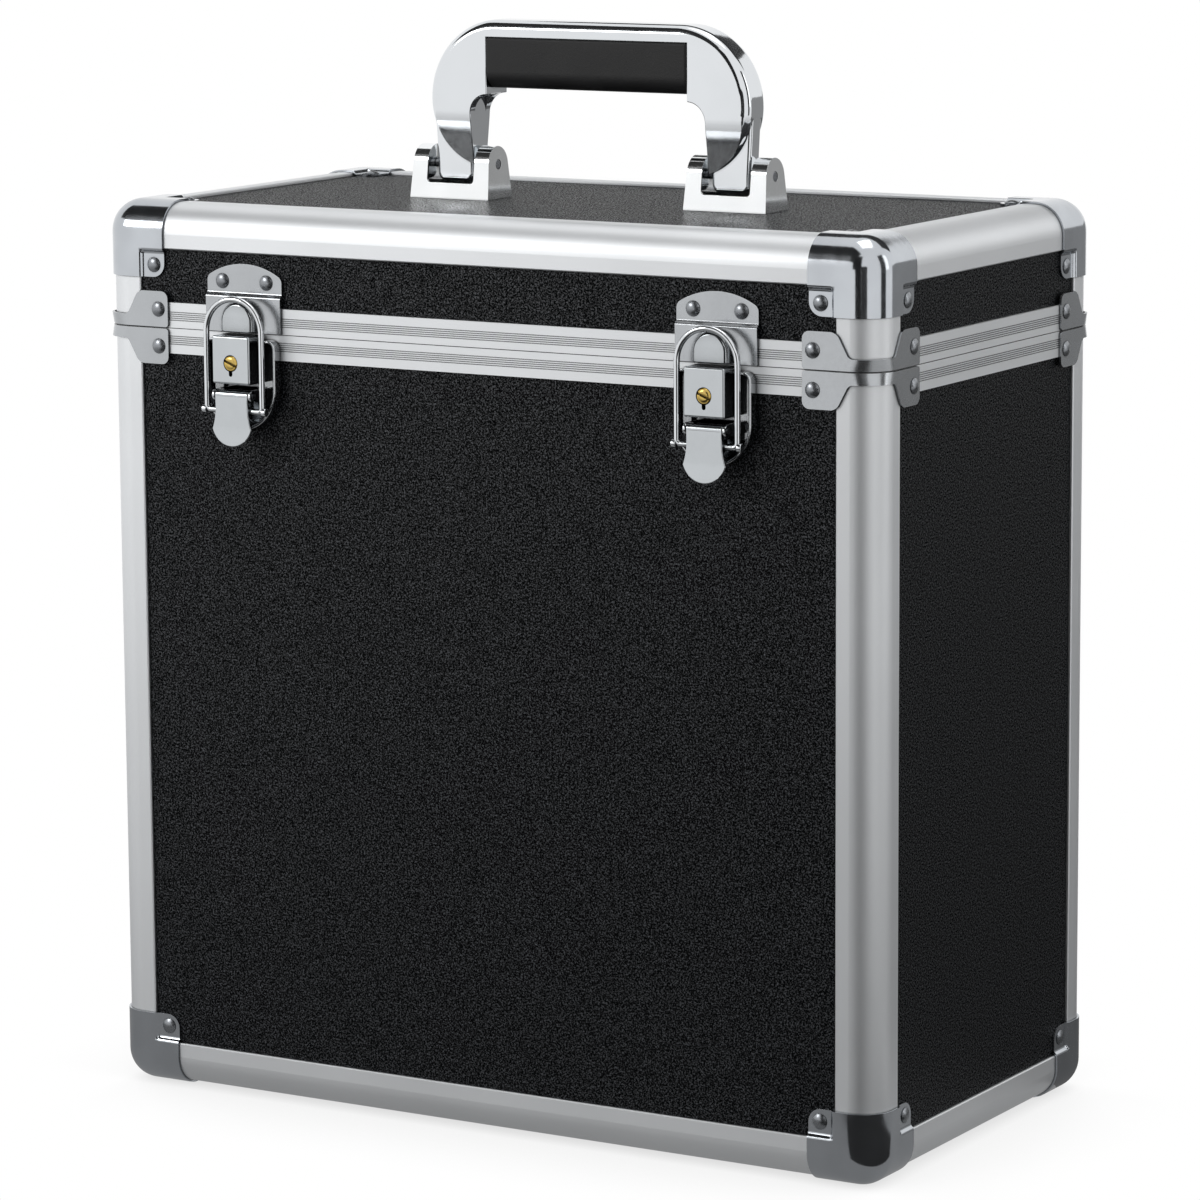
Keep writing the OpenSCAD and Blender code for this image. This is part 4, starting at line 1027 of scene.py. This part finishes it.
def cheek(size):
    """The side cheek of the lever that carries the bail's end."""
    wide, sheet = size.wire_radius + 1.0, 1.0
    barrel = arc(size.lever_out, -size.lever_drop, size.barrel_radius, 0, 180, 16)
    eye = arc(size.bail_out, -size.bail_drop, wide, 180, 270, 8)
    piece = solid("cheek", sideways(
        barrel + [(size.bail_out - wide, -size.bail_drop)] + eye
        + [(size.box_out - 0.3, -size.bail_drop - wide)], size.lever_width / 2 - sheet), x=sheet)
    soften(piece, 0.2)
    return with_mirror(piece, "cheeks")


def lever(size):
    """The lever: tongue, rolled barrel and cheeks."""
    half = size.lever_width / 2
    barrel = rod("barrel", (-half, -size.lever_out, -size.lever_drop),
                 (half, -size.lever_out, -size.lever_drop), size.barrel_radius, 40)
    soften(barrel, 0.3)
    return join([tongue(size), barrel, cheek(size)], "lever")


def bail(size):
    """The bail: one wire bent over the top, its ends turned into the lever's cheeks."""
    bend = 1.6
    stub, side = size.lever_width / 2 - 2.0, size.bail_half - bend
    out = -size.bail_out
    arch_z = size.bail_top - size.bail_half
    rise = arch_z + size.bail_drop - bend
    piece = start("bail", bpy.ops.mesh.primitive_circle_add, vertices=20,
                  radius=size.wire_radius, fill_type="NGON",
                  location=(stub, out, -size.bail_drop), rotation=(0, math.pi / 2, 0))
    edit(piece)
    pick("FACE", everything)

    def swing(x, z, angle, steps):
        bpy.ops.mesh.spin(steps=steps, angle=math.radians(angle), center=(x, out, z),
                          axis=(0, 1, 0))
    pull(x=side - stub)
    swing(side, bend - size.bail_drop, 90, 8)
    pull(z=rise)
    swing(0, arch_z, 180, 40)
    pull(z=-rise)
    swing(-side, bend - size.bail_drop, 90, 8)
    pull(x=side - stub)
    weld()
    face_outwards()
    leave_edit()
    head_radius, head_height = 1.7, 0.9
    head = rod("pin head", (size.bail_half, out, -size.bail_drop),
               (size.bail_half + size.wire_radius + head_height, out, -size.bail_drop),
               head_radius, 24)
    soften(head, 0.4, 3)
    return join([piece, with_mirror(head, "pin heads")], "bail")


def plug(size):
    """The lock's plug: a turned brass face with a chamfer and a driver slot."""
    radius, out, back, step = size.plug_radius, size.box_out + 0.4, 1.5, 0.12
    profile = [(0, out), (radius * 0.62, out), (radius * 0.68, out - step),
               (radius - 0.5, out - step), (radius - 0.1, out - 0.5), (radius, out - 0.8),
               (radius, back), (0, back)]
    piece = revolve("plug", [(x, -y, 0) for x, y in profile], (0, 1, 0), 40)
    slot = block("slot", (-2 * radius, -out - 1, -0.5), (2 * radius, 1.1 - out, 0.5))
    slot.data.transform(lean(22, "Y"))
    cut_out(piece, slot)
    soften(piece, 0.08)
    piece.data.transform(shift(0, 0, -size.plug_drop))
    return piece


class CASE_OT_latches(bpy.types.Operator):
    """Make the catches, bases, levers, bails and lock plugs"""
    bl_idname = "case.latches"
    bl_label = "Latches"

    def execute(self, context):
        size = in_mm(context.scene.case_latch)
        parts = [
            (catch_plate(size), "catch_plate", "lid", "plate", "_latch_catch"),
            (catch_dome(size), "catch_dome", "lid", "pressed_chrome", None),
            (base_plate(size), "latch_pan", "base", "chrome", "_latch_base"),
            (lock_box(size), "lock_box", "base", "pressed_chrome", None),
            (lever_ears(size), "lever_ears", "base", "chrome", None),
            (lever(size), "lever", "_lever", "pressed_chrome", "_latch_lever"),
            (bail(size), "bail", "_bail", "chrome", "_latch_bail"),
            (plug(size), "lock_plug_face", "_lock", "brass", "_lock_plug"),
        ]
        for piece, name, body, finish, node in parts:
            for side, matrix in latch_places():
                copy = twin(piece, matrix)
                copy.name = copy.data.name = f"{side}_{name}"
                rides = side + body if body.startswith("_") else body
                slot = "brass" if finish == "brass" else "chrome"
                dress(copy, rides, finish, slot, *([side + node] if node else []))
            bpy.data.objects.remove(piece)
        return {"FINISHED"}


# ---------- Handle ----------


def bow(size):
    """The bow: a deep strip with round ends that grow thinner towards their tips."""
    half, deep = size.width / 2, size.depth / 2
    corner_x, corner_z = half - size.corner, HANDLE_TOP - size.corner
    inside, window = size.inside / 2, size.grip_length / 2 + SEAT_GAP
    shoulder_z = HANDLE_TOP - size.shoulder
    end_x = half - size.end_radius
    tip_z = corner_z - size.end_radius
    turn = math.degrees(math.acos((inside - 1 - end_x) / size.end_radius))
    right = arc(corner_x, corner_z, size.corner, 90, 0, 28)
    right += arc(end_x, corner_z, size.end_radius, 0, -turn, 24)[1:]
    left = [(-x, z) for x, z in reversed(right)]
    piece = solid("bow", facing(right + left, deep), y=size.depth)
    edit(piece)
    round_edges(lambda e: run(e).y < HAIR and (abs(middle(e).x) > inside - 2
                                               or middle(e).z > corner_z), size.edge, 8)
    # The taper starts softly: its slope grows in steps over the first third of the way down
    start, steps = 0.35, 7
    slope = (deep - size.tip_depth / 2) / size.end_radius / (1 - start / 2)
    for step in range(1, steps + 1):
        steep, drop = step / steps, size.end_radius * start * step / steps
        for sense in (-1, 1):
            slice_at((0, sense * (deep - slope * drop * steep / 2), corner_z - drop),
                     (0, sense, -slope * steep), clear=True)
    leave_edit()
    # The opening over the legs, with round shoulders, and the slot for the grip
    bend = inside - window
    side = [(inside, tip_z - 5)] + arc(window, shoulder_z - bend, bend, 0, 90, 10)
    side += [(window, HANDLE_TOP - size.strip)]
    opening = solid("opening", facing(side + [(-x, z) for x, z in reversed(side)], size.depth),
                    y=2 * size.depth)
    cut_out(piece, opening)
    # Behind its front and back lips each shoulder is hollow round the grip's screw
    recess = block("recess", (window - 1, -size.foot_depth / 2, tip_z + 10),
                   (inside, size.foot_depth / 2, shoulder_z))
    cut_out(piece, with_mirror(recess, "recesses"))
    edit(piece)
    round_edges(lambda e: fold(e) > 50 and abs(middle(e).x) < inside + HAIR
                and abs(middle(e).y) > size.tip_depth / 2 - HAIR, 0.45, 3)
    leave_edit()
    return piece


def leg(size):
    """One leg of the handle: a round foot in the bracket, growing wider up to the bow."""
    foot, radius, overlap = size.foot_width / 2, 3.0, 0.05
    corner_z = HANDLE_TOP - size.corner
    bottom = PIVOT_Z - size.foot_drop + radius
    points = arc(BRACKET_X - foot + radius, bottom, radius, 180, 270, 6)
    points += arc(BRACKET_X + foot - radius, bottom, radius, 270, 360, 6)
    points += [(BRACKET_X + foot, PIVOT_Z), (size.width / 2 - overlap, corner_z),
               (size.inside / 2 + overlap, corner_z), (BRACKET_X - foot, PIVOT_Z)]
    piece = solid("leg", facing(points, size.foot_depth / 2), y=size.foot_depth)
    soften(piece, 1.7, 5, 40)
    return piece


def handle_bracket(size):
    """A cast bracket: two round-topped ears, low walls between them and an open floor."""
    foot, deep = BRACKET_FOOT, size.bracket_depth / 2
    down = PIVOT_Z - foot
    turn = math.degrees(math.atan2(-down, deep)
                        + math.acos(size.ear_radius / math.hypot(deep, down)))
    points = [(deep, foot)] + arc(0, PIVOT_Z, size.ear_radius, turn, 180 - turn, 24)
    piece = solid("handle bracket", sideways(points + [(-deep, foot)], -size.bracket_length),
                  x=2 * size.bracket_length)
    edit(piece)
    draft = (size.bracket_length - size.bracket_top) / 2
    for side in (-1, 1):
        slice_at((side * size.bracket_length / 2, 0, foot),
                 (side * (down + size.ear_radius), 0, draft), clear=True)
    half = size.bracket_gap / 2
    wall_top = TOP + size.wall_height
    slot = block("gap", (-half, -30, wall_top), (half, 30, wall_top + 40))
    edit(slot)
    round_edges(lambda edge: run(edge).y > 0.9 and middle(edge).z < wall_top + 1, 1.5, 5)
    pocket = block("pocket", (-half, size.wall - deep, foot - 5),
                   (half, deep - size.wall, wall_top + 5))
    bore = rod("bore", (-40, 0, PIVOT_Z), (40, 0, PIVOT_Z), size.pin_radius + 0.05, 32)
    for cutter in (slot, pocket, bore):
        cut_out(piece, cutter)
    soften(piece, 0.7, 3, 40)
    return piece


def pins(size):
    """The pins of the handle, with domed ends almost flush with the ears."""
    draft = (size.bracket_length - size.bracket_top) / 2
    share = (PIVOT_Z - BRACKET_FOOT) / (PIVOT_Z + size.ear_radius - BRACKET_FOOT)
    half = size.bracket_length / 2 - draft * share - 0.1
    pin = rod("pin", (-half, 0, PIVOT_Z), (half, 0, PIVOT_Z), size.pin_radius, 32)
    soften(pin, 0.35, 3)
    return spread(pin, [shift(side * BRACKET_X, 0, 0) for side in (-1, 1)], "handle_pin_pair")


def grip(size):
    """The soft grip: flat above, round below, with soft ends."""
    half, r = size.grip_depth / 2, size.grip_radius
    top = HANDLE_TOP - size.strip - SEAT_GAP
    low = top - size.grip_height + r
    points = [(half, top)] + arc(half - r, low, r, 0, -90, 10)
    points += arc(r - half, low, r, -90, -180, 10) + [(-half, top)]
    piece = solid("handle_soft_grip", sideways(points, -size.grip_length / 2),
                  x=size.grip_length)
    edit(piece)
    round_edges(folded(40), 0.9, 3)
    leave_edit()
    return piece


def screws(size):
    """The round heads of the two screws under the shoulders."""
    x = (size.grip_length / 2 + SEAT_GAP + size.inside / 2) / 2
    places = [shift(side * x, 0, HANDLE_TOP - size.shoulder - 0.05) @ lean(180, "X")
              for side in (-1, 1)]
    return spread(rivet_head(2.4, 1.5), places, "handle_screw_heads")


class CASE_OT_handle(bpy.types.Operator):
    """Make the handle, its grip, its screws, its pins and its brackets"""
    bl_idname = "case.handle"
    bl_label = "Handle"

    def execute(self, context):
        size = in_mm(context.scene.case_handle)
        legs = with_mirror(leg(size), "legs")
        dress(join([bow(size), legs], "handle_bow"), "handle", "cast_chrome", "chrome",
              "handle_frame")
        dress(grip(size), "handle", "grip", "grip", "handle_grip")
        dress(screws(size), "handle", "rivet_steel", "rivet_steel", "handle_screws")
        dress(pins(size), "lid", "rivet_steel", "rivet_steel", "handle_pins")
        bracket = handle_bracket(size)
        for side, x in (("left", -BRACKET_X), ("right", BRACKET_X)):
            copy = twin(bracket, shift(x, 0, 0))
            copy.name = copy.data.name = f"{side}_cast_bracket"
            dress(copy, "lid", "bracket_chrome", "chrome", f"{side}_handle_bracket")
        bpy.data.objects.remove(bracket)
        return {"FINISHED"}


class CASE_OT_finishes(bpy.types.Operator):
    """Mix the finishes and give each CAD node the one of its slot"""
    bl_idname = "case.finishes"
    bl_label = "Finishes"

    def execute(self, context):
        colours = context.scene.case_finishes
        make_finishes(SimpleNamespace(**{key: list(getattr(colours, key))
                                         for key in colours.__annotations__}))
        for part in frame["record"]["subparts"]:
            materials = frame["nodes"][part["node"]].data.materials
            materials.clear()
            materials.append(FINISHES[part["material_slot"]])
        return {"FINISHED"}


# ---------- Stage ----------


# The middle of the case's front, which lamps and cards face, in metres
AIM = Vector((0, 0, 0.25))
# Their levels are set against this world: full white to look at, weaker as a light
WORLD_LIGHT = 0.32

# How the photograph was taken: angles in degrees, lengths in millimetres, the focal
# length and the frame in pixels
CAMERA = {"turn": 30.595, "rise": 9.622, "roll": -0.356, "focal": 5204.844, "frame": 1200,
          "across": -0.696, "up": 196.595, "distance": 2134.85}


def direction(turn, rise):
    """The direction from the case at a turn from the front and a rise, in radians."""
    return Vector((math.sin(turn) * math.cos(rise), -math.cos(turn) * math.cos(rise),
                   math.sin(rise)))


def seen_by(tree, *rays):
    """One for any of these kinds of ray, and zero for the others."""
    path = add(tree, "ShaderNodeLightPath", {})
    seen = path.outputs[rays[0]]
    for ray in rays[1:]:
        seen = add(tree, "ShaderNodeMath", {0: seen, 1: path.outputs[ray]},
                   operation="MAXIMUM").outputs[0]
    return seen


def glow(tree, colour, strength):
    return add(tree, "ShaderNodeEmission", {"Color": colour, "Strength": strength})


def stage_plane(name, matrix, build):
    """A plane of the stage, with the surface that the build function makes."""
    piece = start(name, bpy.ops.mesh.primitive_plane_add, size=1)
    piece.data.transform(matrix)
    material, tree, place = new_material(name)
    close_material(tree, build(tree, place))
    piece.data.materials.append(material)
    return piece


def white_paper(tree, place):
    """Matt white paper: seen as white by the camera, darker where the case shades it."""
    shade = add(tree, "ShaderNodeAmbientOcclusion", {"Distance": 0.12}, samples=8)
    tone = steps_of(tree, shade.outputs["AO"], [(0.0, grey(0.72)), (0.75, grey(1.0))])
    paper = add(tree, "ShaderNodeBsdfDiffuse", {"Color": (0.8, 0.8, 0.8, 1)})
    return add(tree, "ShaderNodeMixShader",
               {0: seen_by(tree, "Is Camera Ray", "Is Glossy Ray"), 1: paper.outputs[0],
                2: glow(tree, tone, 1.0).outputs[0]})


def table_glow(tree, place):
    """A table top that grows brighter from the case outwards, over 0.3 to 2 metres."""
    far = add(tree, "ShaderNodeVectorMath", {0: place}, operation="LENGTH")
    return glow(tree, (1, 1, 1, 1), carry(tree, far.outputs["Value"], 0.3, 2.0, 0.28, 1.0))


def card(name, matrix, build):
    """A studio card that shows in reflections alone."""
    piece = stage_plane(name, matrix, build)
    piece.visible_camera = piece.visible_diffuse = piece.visible_shadow = False


def plain(level):
    """The surface of a card with one even brightness."""
    return lambda tree, place: glow(tree, (1, 1, 1, 1), level)


def upright_card(name, level, turns, rises, distance=1.9):
    """A card that faces the case, by the directions in degrees between which it stands."""
    out = direction(*(math.radians(sum(pair) / 2) for pair in (turns, rises)))
    width, height = (2 * distance * math.tan(math.radians(pair[1] - pair[0]) / 2)
                     for pair in (turns, rises))
    facing_case = (-out).to_track_quat("Z", "Y").to_matrix().to_4x4()
    card(name, shift(*(AIM + out * distance)) @ facing_case
         @ Matrix.Diagonal((width, height, 1, 1)), plain(level))


def flat_card(name, level, turn, near, far, width):
    """A card over the table that runs away from the case in one direction."""
    over = 0.003
    card(name, lean(turn, "Z") @ shift(0, -(near + far) / 2, over)
         @ Matrix.Diagonal((width, far - near, 1, 1)), plain(level))


def area_light(name, place, size, power):
    """A lamp in watts that faces the case, its place and size in metres."""
    light = bpy.data.lights.new(name, "AREA")
    light.shape = "RECTANGLE"
    light.size, light.size_y = size
    light.energy = power
    lamp = bpy.data.objects.new(name, light)
    bpy.context.scene.collection.objects.link(lamp)
    lamp.location = place
    lamp.rotation_euler = (AIM - Vector(place)).to_track_quat("-Z", "Y").to_euler()


class CASE_OT_stage(bpy.types.Operator):
    """Set the floor, the cards, the lamps and the camera"""
    bl_idname = "case.stage"
    bl_label = "Stage"

    def execute(self, context):
        stage_plane("floor", Matrix.Diagonal((8, 8, 1, 1)), white_paper)
        context.scene.view_settings.view_transform = "Standard"
        self.light_world(context)
        self.set_lamps()
        self.set_cards()
        self.set_camera(context)
        return {"FINISHED"}

    def light_world(self, context):
        world = bpy.data.worlds.new("studio")
        context.scene.world = world
        world.use_nodes = True
        tree = world.node_tree
        tree.nodes.clear()
        seen = seen_by(tree, "Is Camera Ray", "Is Glossy Ray", "Is Transmission Ray")
        sky = add(tree, "ShaderNodeBackground",
                  {"Color": (1, 1, 1, 1),
                   "Strength": carry(tree, seen, 0.0, 1.0, WORLD_LIGHT, 1.0)})
        add(tree, "ShaderNodeOutputWorld", {"Surface": sky.outputs[0]})

    def set_lamps(self):
        area_light("key, left", (-1.0, -1.2, 1.05), (0.7, 0.7), 8.5)
        area_light("top", (0.1, 0.1, 1.9), (1.0, 0.8), 4)
        area_light("fill, right", (1.9, 0.3, 0.9), (0.8, 1.2), 3)

    def set_cards(self):
        """The dark and grey parts of the room that the metal mirrors."""
        upright_card("dark room in front", 0.02, (-8, 12), (5, 42))
        upright_card("dark room behind the camera", 0.02, (0, 20), (-12, 45), 1.8)
        upright_card("dark room under the right lamp", 0.04, (20, 38), (-12, 14), 1.85)
        upright_card("dark room to the right", 0.03, (80, 98), (-12, 40), 1.8)
        upright_card("dark room behind, right", 0.3, (125, 175), (-12, 8), 1.9)
        upright_card("dark room behind and above", 0.05, (150, 210), (32, 60))
        upright_card("dark canopy for the handle", 0.03, (-75, -8), (30, 68), 1.2)
        flat_card("dark floor towards the camera", 0.04, 18, 0.3, 3.0, 0.9)
        flat_card("dark floor at the right corner", 0.03, 55, 0.2, 0.4, 0.2)
        flat_card("dark floor behind, right", 0.12, 149, 0.15, 1.9, 1.3)
        card("table", shift(0, 0, 0.001) @ Matrix.Diagonal((4, 4, 1, 1)), table_glow)

    def set_camera(self, context):
        camera = bpy.data.cameras.new("camera")
        camera.sensor_width = 36
        camera.lens = CAMERA["focal"] / CAMERA["frame"] * camera.sensor_width
        camera.clip_start = 0.05
        viewer = bpy.data.objects.new("camera", camera)
        context.scene.collection.objects.link(viewer)
        turn, rise, roll = (math.radians(CAMERA[key]) for key in ("turn", "rise", "roll"))
        back = direction(turn, rise)
        flat = Vector((0, 0, 1)).cross(back).normalized()
        over = back.cross(flat)
        right = flat * math.cos(roll) + over * math.sin(roll)
        up = over * math.cos(roll) - flat * math.sin(roll)
        place = right * CAMERA["across"] + up * CAMERA["up"] + back * CAMERA["distance"]
        axes = Matrix((right, up, back)).transposed().to_4x4()
        viewer.matrix_world = shift(*((place + Vector((0, 0, BOTTOM))) * MM)) @ axes
        context.scene.camera = viewer


class CASE_PT_panel(bpy.types.Panel):
    """Sizes, colours and pieces of the record case"""
    bl_label = "Record case"
    bl_idname = "CASE_PT_panel"
    bl_space_type = "VIEW_3D"
    bl_region_type = "UI"
    bl_category = "Record case"

    def draw(self, context):
        for group in ("case_corners", "case_latch", "case_handle", "case_finishes"):
            box = self.layout.box()
            values = getattr(context.scene, group)
            for key in values.__annotations__:
                box.prop(values, key)
        for operator in STEPS:
            self.layout.operator(operator.bl_idname)


GROUPS = {"case_corners": CornerSizes, "case_latch": LatchSizes, "case_handle": HandleSizes,
          "case_finishes": Finishes}
STEPS = [CASE_OT_finishes, CASE_OT_ball_corners, CASE_OT_seam_brackets, CASE_OT_slot_plugs,
         CASE_OT_rivets, CASE_OT_latches, CASE_OT_handle, CASE_OT_stage]
CLASSES = [*GROUPS.values(), *STEPS, CASE_PT_panel]


def register():
    for kind in CLASSES:
        bpy.utils.register_class(kind)
    for name, kind in GROUPS.items():
        setattr(bpy.types.Scene, name, PointerProperty(type=kind))


def unregister():
    for name in GROUPS:
        delattr(bpy.types.Scene, name)
    for kind in reversed(CLASSES):
        bpy.utils.unregister_class(kind)


def main():
    register()
    for step in STEPS:
        group, name = step.bl_idname.split(".")
        getattr(getattr(bpy.ops, group), name)()


if __name__ == "__main__":
    main()
